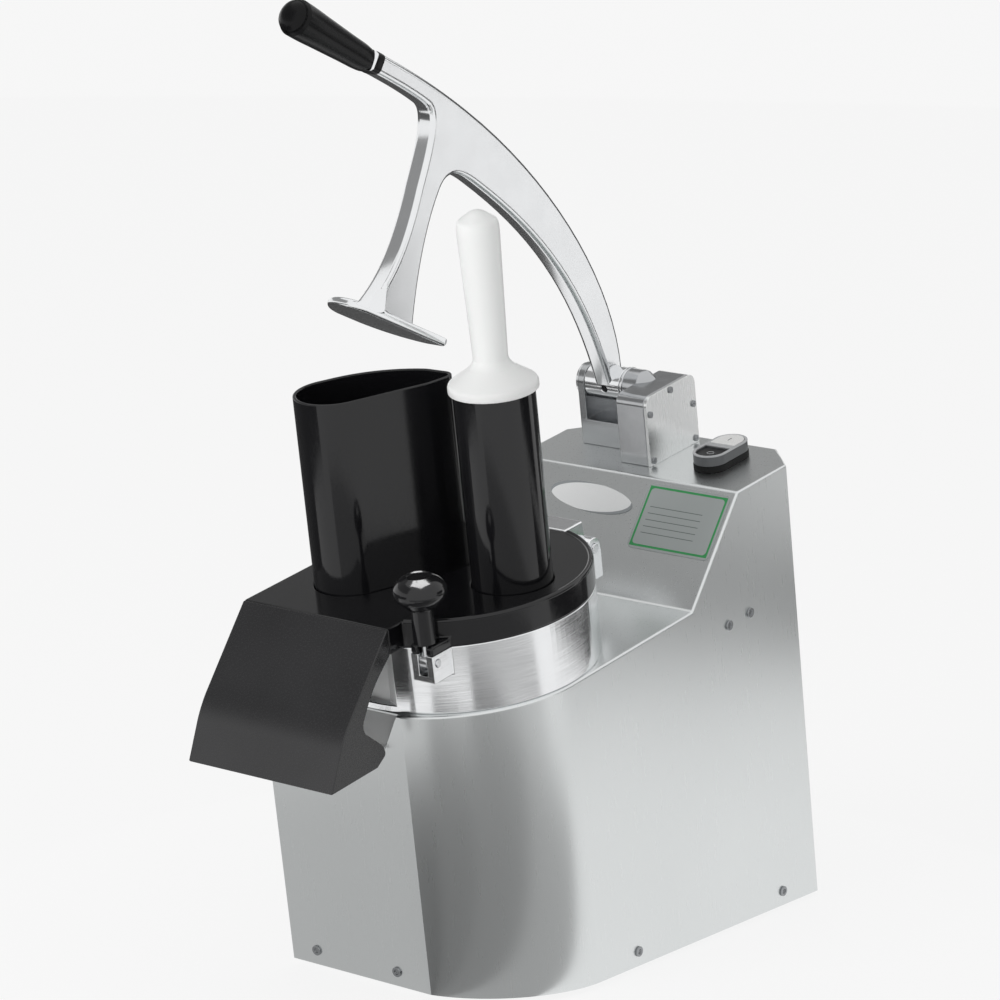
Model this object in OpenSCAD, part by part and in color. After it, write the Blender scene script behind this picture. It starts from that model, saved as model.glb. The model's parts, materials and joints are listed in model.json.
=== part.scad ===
// Bench vegetable cutting machine: a leaning sheet-steel casing, a round cutting bowl with a
// hinged lid, a half-moon hopper worked by a lever press, and a round hopper with a hand pusher.
// The casing leans forward, so nearly every piece is drawn in the leaning frame:
// x across the machine, u from the front face to the back, v up along the walls.

/* [Casing] */
// Width of the casing; the nose is half of it in radius
body_w = 234; // [215:1:260]
// Length of the casing from the flat front to the back, along u
body_len = 458; // [445:1:500]
// Height of the low deck that carries the bowl, along v
deck_h = 247; // [235:1:270]
// Height of the raised rear deck, along v
rear_deck_h = 327; // [320:1:345]
// Distance from the front to the foot of the sloped panel
slope_foot = 279; // [275:1:285]
// Distance from the front to the edge of the rear deck
slope_head = 356; // [345:1:362]
// Size of the cut rear corners
corner_cut = 30; // [15:1:40]
// Forward lean of the whole casing
lean = 9.7; // [6:0.1:12]
// Thickness of the sheet steel
sheet = 1.5; // [1:0.1:2.5]
// Height of the folded rim of the base tray
tray_rim = 25; // [20:1:35]
// Height of the rubber feet
foot_h = 5; // [4:0.5:8]
// Radius of the rubber feet
foot_r = 14; // [10:0.5:18]
// Distance of the feet from the casing's sides
foot_inset = 42; // [36:1:55]
// Distance of the front feet from the front
foot_front = 82; // [75:1:100]
// Radius of the heads of the casing screws
screw_head_r = 4.4; // [3.8:0.1:5.5]
// Height of the heads of the casing screws
screw_head_h = 1.8; // [1.4:0.1:2]
// Height of the lower casing screws above the bottom edge
screw_rise = 13; // [10:0.5:16]

/* [Bowl] */
// Step from the casing's outside in to the bowl's, all round the nose
bowl_step = 2; // [1:0.5:6]
// Height of the bowl
bowl_h = 57; // [52:1:65]
// Thickness of the bowl's wall
bowl_wall = 8; // [6:0.5:8.5]
// Thickness of the bowl's floor
bowl_floor = 6; // [4:0.5:8]
// Right end of the discharge mouth, from the middle
mouth_right = 26; // [15:1:30]
// Depth of the notch in the front panel under the mouth
mouth_drop = 32; // [15:1:36]

/* [Lid] */
// Height of the lid
lid_h = 22; // [20:0.5:28]
// Thickness of the lid's skirt and top
lid_wall = 4; // [3:0.5:5]
// How far the lid stands forward of the front panel
lid_front = 10; // [8:1:14]
// Right side of the discharge hood
hood_right = 35; // [31:1:35]
// Thickness of the hood
hood_wall = 3; // [2:0.25:4]
// Forward reach of the hood past the lid
hood_reach = 86; // [75:1:95]
// Drop of the hood below the lid's top
hood_drop = 107; // [100:1:112]
// Height of the hoppers above the lid
hopper_h = 162; // [150:1:162]
// Wall of the half-moon hopper
hopper_wall = 3; // [2:0.25:4]
// Outer radius of the round hopper
round_r = 33; // [30:0.5:34]
// Wall of the round hopper
round_wall = 3; // [2:0.25:4]

/* [Hand pusher] */
// Radius of the pusher's flange
flange_r = 36.5; // [35:0.5:40]
// Length of the pusher's handle above the hopper
handle_len = 148; // [120:1:160]
// Radius of the handle at its foot
handle_r = 14; // [12:0.5:16]
// Travel of the pusher when it is drawn
pusher_travel = 170; // [120:1:200]

/* [Lever press] */
// Height of the lever's hinge above the rear deck
hinge_rise = 55; // [52:1:60]
// Distance of the lever's hinge behind the rear deck's front edge
hinge_back = 62; // [58:1:68]
// How far the lever stands raised from the level pose
lever_raise = 38.9; // [34:0.1:44]
// Radius of the lever's hub
hub_r = 15; // [13:0.5:17]
// Radius of the hinge pin
pin_r = 8; // [6:0.25:9]
// Thickness of the cast arm
arm_t = 18; // [14:0.5:20]
// Height of the arm's crown above the hinge
arm_rise = 113; // [108:1:120]
// Height of the arch under the arm above the hinge
arch_rise = 65; // [62:1:70]
// Width of the stem that carries the plate
stem_w = 27; // [20:0.5:30]
// Drop of the plate's underside below the hinge
plate_drop = 77; // [72:1:82]
// Thickness of the press plate
plate_t = 7; // [5:0.5:9]
// Gap at the sides between the press plate and the hopper
plate_gap = 7; // [6:0.25:12]
// Shortening of the plate along u, so that its ends clear the hopper as it swings
plate_squeeze = 0.86; // [0.75:0.01:0.87]
// Length of the lever's grip
grip_len = 105; // [95:1:125]
// Radius of the grip at its outer end
grip_r = 15; // [12:0.5:17]

/* [Lid latch] */
// Distance of the latch to the right of the middle
latch_x = 58; // [58:0.5:62]
// Width of the latch lugs
latch_w = 22; // [20:0.5:24]
// Radius of the latch bolt
bolt_r = 3.5; // [3:0.25:4]
// Radius of the latch knob
knob_r = 22; // [18:0.5:22]
// Radius of the knob's sleeve
sleeve_r = 9; // [7:0.5:10]
// Height of the knob's sleeve
sleeve_h = 32; // [28:1:36]

/* [Switch] */
// Width of the switch housing
switch_w = 31; // [28:0.5:34]
// Length of the switch housing
switch_len = 60; // [54:1:64]
// Height of the switch housing above its gasket
switch_h = 9; // [7:0.5:12]
// Travel of the buttons
button_travel = 2; // [1:0.25:2]

/* [Drive] */
// Gap between the cutting disc and the bowl's wall
disc_gap = 4.5; // [3:0.25:8]
// Thickness of the cutting disc
disc_t = 5; // [4:0.5:6]
// Radius of the drive shaft
shaft_r = 10; // [8:0.5:11]
// Radius of the driven pulley
driven_r = 72; // [60:1:76]
// Radius of the motor pulley
motor_pulley_r = 22; // [18:1:26]
// Radius of the motor
motor_r = 60; // [50:1:64]
// Length of the motor
motor_len = 140; // [110:1:150]

/* [Hidden] */
$fn = 96;
// Running gaps: shaft in a bore, loose sliding pieces, pieces set side by side
run_gap = 0.05;
slide_gap = 0.5;
set_gap = 0.2;
seat_gap = 0.1;
// Overshoot of a cutting tool past the face it cuts
cut = 1;

half_w = body_w / 2;
bowl_r = half_w - bowl_step;
disc_r = bowl_r - bowl_wall - disc_gap;
nose_u = half_w;
bowl_top = deck_h + bowl_h;
lid_top = bowl_top + lid_h;
hopper_top = lid_top + hopper_h;
slope_rise = rear_deck_h - deck_h;
slope_run = slope_head - slope_foot;
slope_angle = atan2(slope_rise, slope_run);

// Latch heights: lug on the bowl, fork on the lid
lug_h = 23;
lug_reach = 13;
fork_t = 8;
latch_slot = 2 * bolt_r + 1.3;
sleeve_gap = 0.4;
latch_u = nose_u - sqrt(pow(bowl_r + sleeve_r + sleeve_gap, 2) - pow(latch_x, 2));
latch_nose = 6;
latch_v = bowl_top - 7;
latch_pin_r = 3;
eye_r = 6;
sleeve_foot = bowl_top + fork_t + 0.3;

// Lid hinge behind the bowl
lid_hinge_u = nose_u + bowl_r + 11;
lid_hinge_v = bowl_top + 2;
lid_hinge_w = 68;
lid_ear_t = 14;
lid_pin_r = 4;
hinge_bite = 8;

// Lever hinge and bracket
hinge_u = slope_head + hinge_back;
hinge_v = rear_deck_h + hinge_rise;
ear_left = -80;
ear_t = 7;
boss_left = -35;
pin_end = boss_left + 12;
block_left = -19;
block_right = 10;
block_front = hinge_u - 42;
block_back = hinge_u + 30;
block_h = 62;
block_wall = 4;
cover_t = 3;
bar_h = 23;
hub_left = ear_left + ear_t + slide_gap;
hub_right = boss_left - slide_gap;
hub_mid = (hub_left + hub_right) / 2;
// The arm toes in towards the middle of the half-moon hopper
arm_toe = 2.5;

// The half-moon hopper's outline is the hull of round posts about the bowl's middle
nose_post = [-57.5, -54.5, 33.5];
tail_post = [-3, 12, 10];
arc_mid = [5, -72];
arc_r = 97;
arc_post_r = 22;
arc_angles = [108:4:156];
plate_u = nose_u - 31;
reach = hinge_u - plate_u;
round_x = 62;

// Switch seat on the rear deck
switch_x = 62;
switch_u = slope_head + 55;
gasket_h = 6;
button_gap = 0.4;

// Drive heights under the low deck
drive_plate_t = 5;
drive_plate_v = deck_h - 47;
pulley_w = 20;
pulley_v = drive_plate_v + drive_plate_t + 8;
motor_u = body_len - corner_cut - motor_r - 30;
motor_shaft_r = 8;
shaft_hold = 25;
housing_r = 31;
housing_h = 60;
housing_rim = 8;
bearing_r = 21;
bearing_w = 12;
belt_t = 4;
belt_gap = 0.3;
disc_top = lid_top - lid_wall - 4;
disc_v = disc_top - disc_t;
ejector_v = deck_h + bowl_floor + 4;
ejector_t = 4;
blade_count = 3;

// Plate for the generic instruction panel and oval badge on the slope
panel_w = 84;
panel_h = 60;
panel_t = 0.6;

steel = "#b9bdbe";
polished = "#d4d6d7";
alloy = "#c9ccce";
black = "#161617";
white = "#f1f2f0";
rubber = "#2a2a2b";
dark = "#3a3d40";
brass = "#b08d4a";

// Row frame: the hood's tip and the back edge are equally far from the middle
hood_tip_u = -lid_front - hood_reach;
hood_tip_v = lid_top - hood_drop;
front_y = hood_tip_u * cos(lean) - hood_tip_v * sin(lean);
back_y = body_len / cos(lean);
shift_y = -(front_y + back_y) / 2;

module leaning() {
  translate([0, shift_y, foot_h]) rotate([lean, 0, 0]) children();
}
module upright() {
  translate([0, shift_y, foot_h]) children();
}
// A prism along x, drawn as an outline of (u, v) points
module across(x0, x1) {
  translate([x0, 0, 0]) rotate([90, 0, 90]) linear_extrude(x1 - x0) children();
}
// A round bar along x
module bar(x0, x1, r) {
  translate([x0, 0, 0]) rotate([0, 90, 0]) cylinder(h = x1 - x0, r = r);
}
// A prism along v, drawn as an outline of (x, u) points
module upwards(v0, v1) {
  translate([0, 0, v0]) linear_extrude(v1 - v0) children();
}
function bezier(p0, p1, p2, p3, n = 12) = [for (i = [0:n])
  let (t = i / n, s = 1 - t)
  s * s * s * p0 + 3 * s * s * t * p1 + 3 * s * t * t * p2 + t * t * t * p3];

// Casing outline seen along v, drawn in by inset
module casing_plan(inset) {
  w = half_w - inset;
  front = inset;
  back = body_len - inset;
  bevel = corner_cut - inset * (2 - sqrt(2));
  union() {
    polygon([[-w, front], [0, front], [w, nose_u], [w, back - bevel], [w - bevel, back],
      [-w + bevel, back], [-w, back - bevel]]);
    intersection() {
      translate([0, nose_u]) circle(r = w);
      translate([0, front]) square([w, nose_u - front]);
    }
  }
}
// Side view of the casing: everything below the decks
module casing_side(drop) {
  slip = drop * tan(slope_angle / 2);
  polygon([[-cut, -body_len], [body_len + cut, -body_len], [body_len + cut, rear_deck_h - drop],
    [slope_head + slip, rear_deck_h - drop], [slope_foot + slip, deck_h - drop], [-cut, deck_h - drop]]);
}
// Everything above the casing's level bottom edge, up to a height
module above_floor(z0, z1) {
  translate([-body_w, -body_len, z0]) cube([2 * body_w, 3 * body_len, z1 - z0]);
}
// Places of the lower casing screws on one side: distances from the front along the edge
low_screws = [166, 379];
high_screws = [slope_head - 28, slope_head + 3];
high_screw_v = deck_h - 30;
front_screws = [-90, -4];

module casing_screw_places() {
  for (side = [-1, 1]) {
    x = side * half_w;
    upright() for (y = low_screws) translate([x, y, screw_rise]) rotate([0, side * 90, 0]) children();
    leaning() for (u = high_screws) translate([x, u, high_screw_v]) rotate([0, side * 90, 0]) children();
  }
  leaning() for (x = front_screws)
    translate([x, 0, screw_rise / cos(lean)]) rotate([90, 0, 0]) children();
  rear_low = (screw_rise + screw_head_r) / cos(lean) - body_len * tan(lean);
  leaning() for (side = [-1, 1], v = [rear_low, rear_deck_h - tray_rim / 2])
    translate([side * (half_w - corner_cut - 12), body_len, v]) rotate([-90, 0, 0]) children();
}
screw_shank_r = 2.5;
screw_shank = 7;
module casing_screw() {
  difference() {
    union() {
      cylinder(h = screw_head_h, r = screw_head_r);
      translate([0, 0, -screw_shank]) cylinder(h = screw_shank, r = screw_shank_r);
    }
    translate([0, 0, screw_head_h / 3]) cylinder(h = screw_head_h, r = screw_head_r / 2, $fn = 6);
  }
}
module casing_screw_holes() {
  casing_screw_places() translate([0, 0, -screw_shank - cut])
    cylinder(h = screw_shank + 2 * cut, r = screw_shank_r + run_gap);
}

// Notch of the discharge mouth in the front panel
module mouth_notch() {
  leaning() translate([0, sheet + cut, 0]) rotate([90, 0, 0]) linear_extrude(sheet + 2 * cut)
    polygon([[mouth_right, deck_h + cut], [mouth_right - mouth_drop / 2, deck_h - mouth_drop],
      [-bowl_r + 2 * bowl_wall, deck_h - mouth_drop], [-bowl_r + bowl_wall, deck_h + cut]]);
}
module body_shell() {
  color(steel) difference() {
    intersection() {
      leaning() upwards(-body_len * tan(lean) - cut, rear_deck_h) difference() {
        casing_plan(0);
        casing_plan(sheet);
      }
      leaning() across(-body_w, body_w) casing_side(0);
      upright() above_floor(0, 2 * rear_deck_h);
    }
    leaning() translate([-rear_panel_w / 2 - set_gap, body_len - corner_cut / 2, -body_len])
      cube([rear_panel_w + 2 * set_gap, corner_cut, 2 * body_len]);
    mouth_notch();
    casing_screw_holes();
  }
}
rear_panel_w = body_w - 2 * corner_cut;
vent_count = 8;
vent_pitch = 11;
vent_w = 60;
vent_h = 4;
vent_v = 60;
gland_inset = 35;
gland_x = gland_inset - rear_panel_w / 2;
gland_v = 20;
gland_r = 8;
module rear_panel() {
  color(steel) difference() {
    intersection() {
      leaning() translate([-rear_panel_w / 2, body_len - sheet, -body_len])
        cube([rear_panel_w, sheet, 2 * body_len]);
      leaning() across(-body_w, body_w) casing_side(sheet + set_gap);
      upright() above_floor(0, 2 * rear_deck_h);
    }
    leaning() for (i = [0:vent_count - 1], side = [-1, 1])
      translate([side * (vent_w / 2 + 6) - vent_w / 2, body_len - sheet - cut, vent_v + i * vent_pitch])
        cube([vent_w, sheet + 2 * cut, vent_h]);
    leaning() translate([gland_x, body_len + cut, gland_v]) rotate([90, 0, 0])
      cylinder(h = sheet + 2 * cut, r = gland_r + run_gap);
    casing_screw_holes();
  }
}
module deck_cover() {
  color(steel) difference() {
    union() {
      intersection() {
        leaning() upwards(0, rear_deck_h) casing_plan(sheet + set_gap);
        leaning() across(-body_w, body_w) difference() {
          casing_side(0);
          casing_side(sheet);
        }
      }
      leaning() translate([-rear_panel_w / 2, body_len - 2 * sheet - set_gap, rear_deck_h - tray_rim])
        cube([rear_panel_w, sheet, tray_rim]);
    }
    leaning() translate([0, nose_u, deck_h - 2 * sheet]) cylinder(h = 4 * sheet, r = shaft_r + 4);
    leaning() translate([-bowl_r, -cut, deck_h - 2 * sheet])
      cube([bowl_r + mouth_right, ramp_back + cut + set_gap, 4 * sheet]);
    leaning() bowl_screw_places() translate([0, 0, -2 * sheet])
      cylinder(h = 4 * sheet, r = bowl_screw_r + run_gap);
    leaning() bracket_bolt_places() translate([0, 0, -2 * sheet])
      cylinder(h = 4 * sheet, r = bracket_bolt_r + run_gap);
    casing_screw_holes();
  }
}
tray_t = 2;
module base_tray() {
  color(steel) difference() {
    intersection() {
      leaning() upwards(-body_len, rear_deck_h) casing_plan(sheet + set_gap);
      upright() above_floor(0, tray_rim);
    }
    intersection() {
      leaning() upwards(-body_len, rear_deck_h) casing_plan(sheet + set_gap + tray_t);
      upright() above_floor(tray_t, tray_rim + cut);
    }
    foot_places() translate([0, 0, -cut]) cylinder(h = tray_t + 2 * cut, r = foot_screw_r + run_gap);
    casing_screw_holes();
  }
}
foot_screw_r = 2.5;
module foot_places() {
  for (x = [-1, 1], y = [foot_front, back_y - foot_inset - corner_cut])
    upright() translate([x * (half_w - foot_inset), y, 0]) children();
}
module feet() {
  color(rubber) foot_places() difference() {
    translate([0, 0, -foot_h]) cylinder(h = foot_h, r1 = foot_r - 2, r2 = foot_r);
    translate([0, 0, -foot_h - cut]) cylinder(h = foot_h / 2 + cut, r = 2 * foot_screw_r);
    translate([0, 0, -foot_h]) cylinder(h = foot_h + cut, r = foot_screw_r + run_gap);
  }
}
module foot_screws() {
  color(steel) foot_places() {
    translate([0, 0, -foot_h / 2]) cylinder(h = foot_h / 2 + tray_t + 3, r = foot_screw_r);
    translate([0, 0, -foot_h / 2 - 1.2]) cylinder(h = 1.2, r = 1.8 * foot_screw_r);
    translate([0, 0, tray_t]) cylinder(h = 3, r = 1.8 * foot_screw_r, $fn = 6);
  }
}
module casing_screws() {
  color(polished) casing_screw_places() casing_screw();
}

// Sheet ramp that takes the cut pieces from the bowl's floor out through the front
ramp_back = 14;
ramp_lip = 7;
module discharge_ramp() {
  low = deck_h - mouth_drop + sheet + set_gap;
  color(polished) leaning()
    across(-bowl_r + 2 * bowl_wall + set_gap, mouth_right - mouth_drop / 2 - set_gap)
    polygon([[ramp_back, deck_h], [ramp_back, deck_h - sheet], [0, low - sheet], [-ramp_lip, low - 2 * sheet],
      [-ramp_lip, low - sheet], [0, low]]);
}

// Bowl outline: round, with a square front-left corner that leads to the mouth
module bowl_plan(inset, front) {
  r = bowl_r - inset;
  translate([0, nose_u]) circle(r = r);
  translate([-r, front]) square([r, nose_u - front]);
}
module bowl() {
  color(polished) leaning() difference() {
    union() {
      upwards(deck_h, bowl_top) bowl_plan(0, nose_u - bowl_r);
      latch_lug();
      lid_hinge_ears();
    }
    upwards(deck_h + bowl_floor, bowl_top + cut) {
      bowl_plan(bowl_wall, -cut);
      mouth_plan();
    }
    translate([0, nose_u, deck_h - cut]) cylinder(h = bowl_floor + 2 * cut, r = seal_r + set_gap);
    translate([0, latch_u, latch_v])
      bar(latch_x - latch_w / 2 - cut, latch_x + latch_w / 2 + cut, latch_pin_r + run_gap);
    bowl_screw_places() translate([0, 0, -cut])
      cylinder(h = bowl_floor + 2 * cut, r = bowl_screw_r + run_gap);
  }
}
// The mouth's right side is cut on a slant towards the middle of the bowl
module mouth_plan() {
  front = nose_u - bowl_r;
  polygon([[-bowl_r + bowl_wall, front - cut], [mouth_right + 2, front - cut], [mouth_right, front + 1],
    [mouth_right - 40, front + 20], [-bowl_r + bowl_wall, nose_u]]);
}
module latch_lug() {
  difference() {
    translate([latch_x - latch_w / 2, latch_u - latch_nose, bowl_top - lug_h])
      cube([latch_w, lug_reach + 14, lug_h]);
    translate([0, nose_u, deck_h]) cylinder(h = bowl_h, r = bowl_r - bowl_wall / 2);
    translate([latch_x - latch_slot / 2, latch_u - latch_nose - cut, bowl_top - lug_h + 5])
      cube([latch_slot, latch_nose + cut + eye_r + 1, lug_h]);
  }
}
module lid_hinge_ears() {
  for (side = [-1, 1]) difference() {
    translate([side * (lid_hinge_w / 2 + set_gap + lid_ear_t / 2) - lid_ear_t / 2, 0, 0])
      across(0, lid_ear_t) union() {
        translate([lid_hinge_u, lid_hinge_v]) circle(r = 9);
        translate([nose_u + bowl_r / 2, bowl_top - 26]) square([lid_hinge_u + 9 - nose_u - bowl_r / 2, 26]);
      }
    translate([0, nose_u, deck_h]) cylinder(h = bowl_h + lid_h, r = bowl_r - bowl_wall / 2);
    translate([0, nose_u, bowl_top]) cylinder(h = lid_h, r = bowl_r + set_gap);
    translate([0, lid_hinge_u, lid_hinge_v]) bar(-body_w, body_w, lid_pin_r + run_gap);
  }
}
bowl_screw_r = 3;
bowl_screw_pcd = 120;
module bowl_screw_places() {
  for (a = [45:90:315]) translate([0, nose_u, deck_h]) rotate([0, 0, a])
    translate([bowl_screw_pcd / 2, 0, 0]) children();
}
module bowl_screws() {
  color(steel) leaning() bowl_screw_places() difference() {
    union() {
      translate([0, 0, bowl_floor]) cylinder(h = 2, r = 2 * bowl_screw_r);
      translate([0, 0, -3 * sheet]) cylinder(h = bowl_floor + 3 * sheet, r = bowl_screw_r);
    }
    translate([0, 0, bowl_floor + 0.8]) cylinder(h = 2, r = bowl_screw_r, $fn = 6);
  }
}
seal_r = shaft_r + 6;
module shaft_seal() {
  color(rubber) leaning() translate([0, nose_u, deck_h]) difference() {
    cylinder(h = bowl_floor + 2, r = seal_r);
    translate([0, 0, -cut]) cylinder(h = bowl_floor + 2 + 2 * cut, r = shaft_r + run_gap);
  }
}

// Lid: a shallow moulded cap over the bowl, square at its front-left corner
module lid_plan(inset, front) {
  r = bowl_r - inset;
  translate([0, nose_u]) circle(r = r);
  translate([-r, front]) square([r + hood_right - inset, nose_u - front]);
}
module lid() {
  color(black) leaning() difference() {
    union() {
      upwards(bowl_top, lid_top) lid_plan(0, -lid_front);
      latch_fork();
    }
    upwards(bowl_top - cut, lid_top - lid_wall) lid_plan(lid_wall, -lid_front - cut);
    upwards(bowl_top, lid_top + cut) hopper_plan(-set_gap);
    translate([round_x, nose_u, bowl_top]) cylinder(h = lid_h + cut, r = round_r + set_gap);
    latch_slot_cut();
    translate([-lid_hinge_w / 2 - set_gap, nose_u + bowl_r - hinge_bite - set_gap, bowl_top - cut])
      cube([lid_hinge_w + 2 * set_gap, 30, lid_h + 2 * cut]);
  }
}
// Its nose follows the arc that the sleeve's foot swings through
module latch_fork() {
  nose_r = bowl_top + fork_t - latch_v;
  difference() {
    translate([latch_x - latch_w / 2, 0, 0]) union() {
      translate([0, latch_u, bowl_top]) cube([latch_w, lug_reach + 8, fork_t]);
      intersection() {
        translate([0, latch_u - latch_nose, bowl_top]) cube([latch_w, 2 * latch_nose, fork_t]);
        translate([0, latch_u, latch_v]) bar(0, latch_w, nose_r);
      }
    }
    translate([0, nose_u, bowl_top - cut]) cylinder(h = fork_t + 2 * cut, r = bowl_r - lid_wall / 2);
  }
}
module latch_slot_cut() {
  translate([latch_x - latch_slot / 2, latch_u - latch_nose - cut, bowl_top - cut])
    cube([latch_slot, latch_nose + cut + eye_r + 1, fork_t + 2 * cut]);
}
// Steel block set into the lid's back edge, which turns on the hinge pin
module lid_hinge_block() {
  color(alloy) leaning() difference() {
    across(-lid_hinge_w / 2, lid_hinge_w / 2) union() {
      translate([lid_hinge_u, lid_hinge_v]) circle(r = 8);
      polygon([[nose_u + bowl_r - hinge_bite, lid_top], [nose_u + bowl_r - hinge_bite, bowl_top + set_gap],
        [lid_hinge_u, lid_hinge_v - 8], [lid_hinge_u + 8, lid_hinge_v], [lid_hinge_u + 6, lid_top]]);
    }
    translate([0, nose_u, deck_h - cut]) cylinder(h = bowl_h + cut, r = bowl_r + set_gap);
    translate([0, lid_hinge_u, lid_hinge_v]) bar(-body_w, body_w, lid_pin_r + run_gap);
  }
}
module lid_hinge_pin() {
  half = lid_hinge_w / 2 + lid_ear_t + set_gap + 2;
  color(polished) leaning() translate([0, lid_hinge_u, lid_hinge_v]) bar(-half, half, lid_pin_r);
}

// Half-moon hopper: posts placed about the bowl's middle
module post(place, inset) {
  translate([place[0], nose_u + place[1]]) circle(r = max(place[2] - inset, 1));
}
module hopper_plan(inset) {
  arc_posts = [for (a = arc_angles) [arc_mid[0] + (arc_r - arc_post_r) * cos(a),
    arc_mid[1] + (arc_r - arc_post_r) * sin(a), arc_post_r]];
  hull() for (place = concat([nose_post, tail_post], arc_posts)) post(place, inset);
}
module half_moon_hopper() {
  color(black) leaning() upwards(disc_top + 2, hopper_top) difference() {
    hopper_plan(0);
    hopper_plan(hopper_wall);
  }
}
module round_hopper() {
  color(black) leaning() translate([round_x, nose_u, disc_top + 2]) difference() {
    cylinder(h = hopper_top - disc_top - 2, r = round_r);
    translate([0, 0, -cut]) cylinder(h = hopper_top - disc_top, r = round_r - round_wall);
  }
}
// Discharge hood on the lid's front edge: a folded roof and two cheeks, open below and behind
fold_reach = 65;
fold_drop = 67;
module chute_hood() {
  front = -lid_front;
  fold = [front - fold_reach, lid_top - fold_drop];
  tip = [hood_tip_u, hood_tip_v];
  cheek = [[front, lid_top], fold, tip, [front - 29, hood_tip_v], [front - 17, hood_tip_v + 7],
    [front - 19, hood_tip_v + 15], [front - 43, hood_tip_v + 37], [front - 25, lid_top - 42],
    [front, lid_top - lid_h]];
  color(black) leaning() {
    across(-bowl_r, hood_right) polygon([[front, lid_top], fold, tip, tip + [1.1 * hood_wall, 0],
      fold + [hood_wall, -hood_wall / 3], [front, lid_top - 1.4 * hood_wall]]);
    across(-bowl_r, -bowl_r + hood_wall) polygon(cheek);
    across(hood_right - hood_wall, hood_right) polygon(cheek);
  }
}

// Turned plastic pusher: a plug in the round hopper, a flange on its rim and a handle
module hand_pusher() {
  plug_r = round_r - round_wall - slide_gap;
  rim = hopper_top + seat_gap;
  flange_t = 6;
  cone_h = 22;
  top_r = handle_r + 3.2;
  color(white) leaning() translate([round_x, nose_u, 0]) rotate_extrude()
    polygon([[0, disc_top + 6], [plug_r, disc_top + 6], [plug_r, rim], [flange_r, rim],
      [flange_r, rim + flange_t], [flange_r - 2, rim + flange_t + 2], [handle_r + 2, rim + cone_h - 2],
      [handle_r, rim + cone_h + 3], [top_r, rim + handle_len - 14], [top_r - 1, rim + handle_len - 9],
      [5, rim + handle_len - 1], [0, rim + handle_len]]);
}

// Bracket of the lever: a hollow block on the right, a bar and a left ear
block_corner = 9;
module block_side(inset) {
  translate([inset, inset]) hull() {
    w = block_back - block_front - 2 * inset;
    h = block_h - 2 * inset;
    r = block_corner - inset / 2;
    square([w, 1]);
    translate([r, h - r]) circle(r = r, $fn = 32);
    translate([w - r, h - r + 1]) circle(r = r, $fn = 32);
  }
}
module lever_bracket() {
  foot = hinge_u - hub_r;
  color(alloy) leaning() difference() {
    union() {
      translate([0, block_front, rear_deck_h]) across(block_left, block_right) block_side(0);
      translate([ear_left, foot, rear_deck_h]) cube([block_left - ear_left, 2 * hub_r, bar_h]);
      translate([ear_left, foot, rear_deck_h]) cube([ear_t, 2 * hub_r, hinge_rise]);
      translate([0, hinge_u, hinge_v]) bar(ear_left, ear_left + ear_t, hub_r);
      translate([0, hinge_u, hinge_v]) bar(boss_left, block_left, hub_r);
    }
    translate([0, block_front, rear_deck_h]) across(block_left + 3 * block_wall, block_right + cut)
      block_side(block_wall);
    translate([0, hinge_u, hinge_v]) bar(ear_left - cut, pin_end + set_gap, pin_r + run_gap);
    bracket_bolt_places() translate([0, 0, -cut])
      cylinder(h = bracket_bolt_depth + cut, r = bracket_bolt_r + run_gap);
    cover_screw_places() bar(block_right - 8, block_right + cut, cover_screw_r + run_gap);
  }
}
bracket_bolt_r = 4;
bracket_bolt_depth = 15;
module bracket_bolt_places() {
  for (x = [ear_left + 2 * ear_t, block_left - ear_t]) translate([x, hinge_u, rear_deck_h]) children();
}
module bracket_bolts() {
  color(steel) leaning() bracket_bolt_places() {
    translate([0, 0, -sheet]) cylinder(h = sheet + bracket_bolt_depth - cut, r = bracket_bolt_r);
    translate([0, 0, -sheet - bracket_bolt_r])
      cylinder(h = bracket_bolt_r, r = 1.7 * bracket_bolt_r, $fn = 6);
  }
}
cover_screw_r = 1.6;
module cover_screw_places() {
  w = block_back - block_front;
  for (place = [[5, 4.5], [5, 46], [w / 2, block_h - 3.5], [w - 5, 36], [w - 5, 4.5]])
    translate([0, block_front + place[0], rear_deck_h + place[1]]) children();
}
module bracket_cover() {
  color(polished) leaning() difference() {
    translate([0, block_front, rear_deck_h]) across(block_right, block_right + cover_t) block_side(0);
    cover_screw_places() bar(block_right - cut, block_right + cover_t + cut, cover_screw_r + run_gap);
  }
}
module cover_screws() {
  head_r = 2.9;
  face = block_right + cover_t;
  color(dark) leaning() cover_screw_places() difference() {
    union() {
      bar(block_right - 7, face, cover_screw_r);
      bar(face, face + 1.4, head_r);
    }
    translate([face + 0.8, -head_r, -0.4]) cube([2, 2 * head_r, 0.8]);
  }
}
module hinge_pin() {
  color(polished) leaning() translate([0, hinge_u, hinge_v])
    bar(ear_left - 1, pin_end, pin_r);
}
module pin_cap() {
  color(dark) leaning() translate([0, hinge_u, hinge_v]) difference() {
    bar(ear_left - 4, ear_left, hub_r - 3);
    bar(ear_left - 1 - set_gap, ear_left + cut, pin_r + run_gap);
  }
}
// Small snap switch inside the block that feels the pin's end
module lever_switch() {
  color(black) leaning() translate([block_left + 3 * block_wall, hinge_u - 16, rear_deck_h + block_wall])
    cube([10, 28, 16]);
}

// Lever frame: the hinge axis, with the arm swung up from the level pose
module lever_pose() {
  leaning() translate([0, hinge_u, hinge_v]) rotate([-lever_raise, 0, 0]) children();
}
stem_a = reach + 13;
foot_b = plate_t - plate_drop;
neck_a = reach + 135;
neck_d = 18;
grip_dip = 5;
foot_flare = 45;
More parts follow.
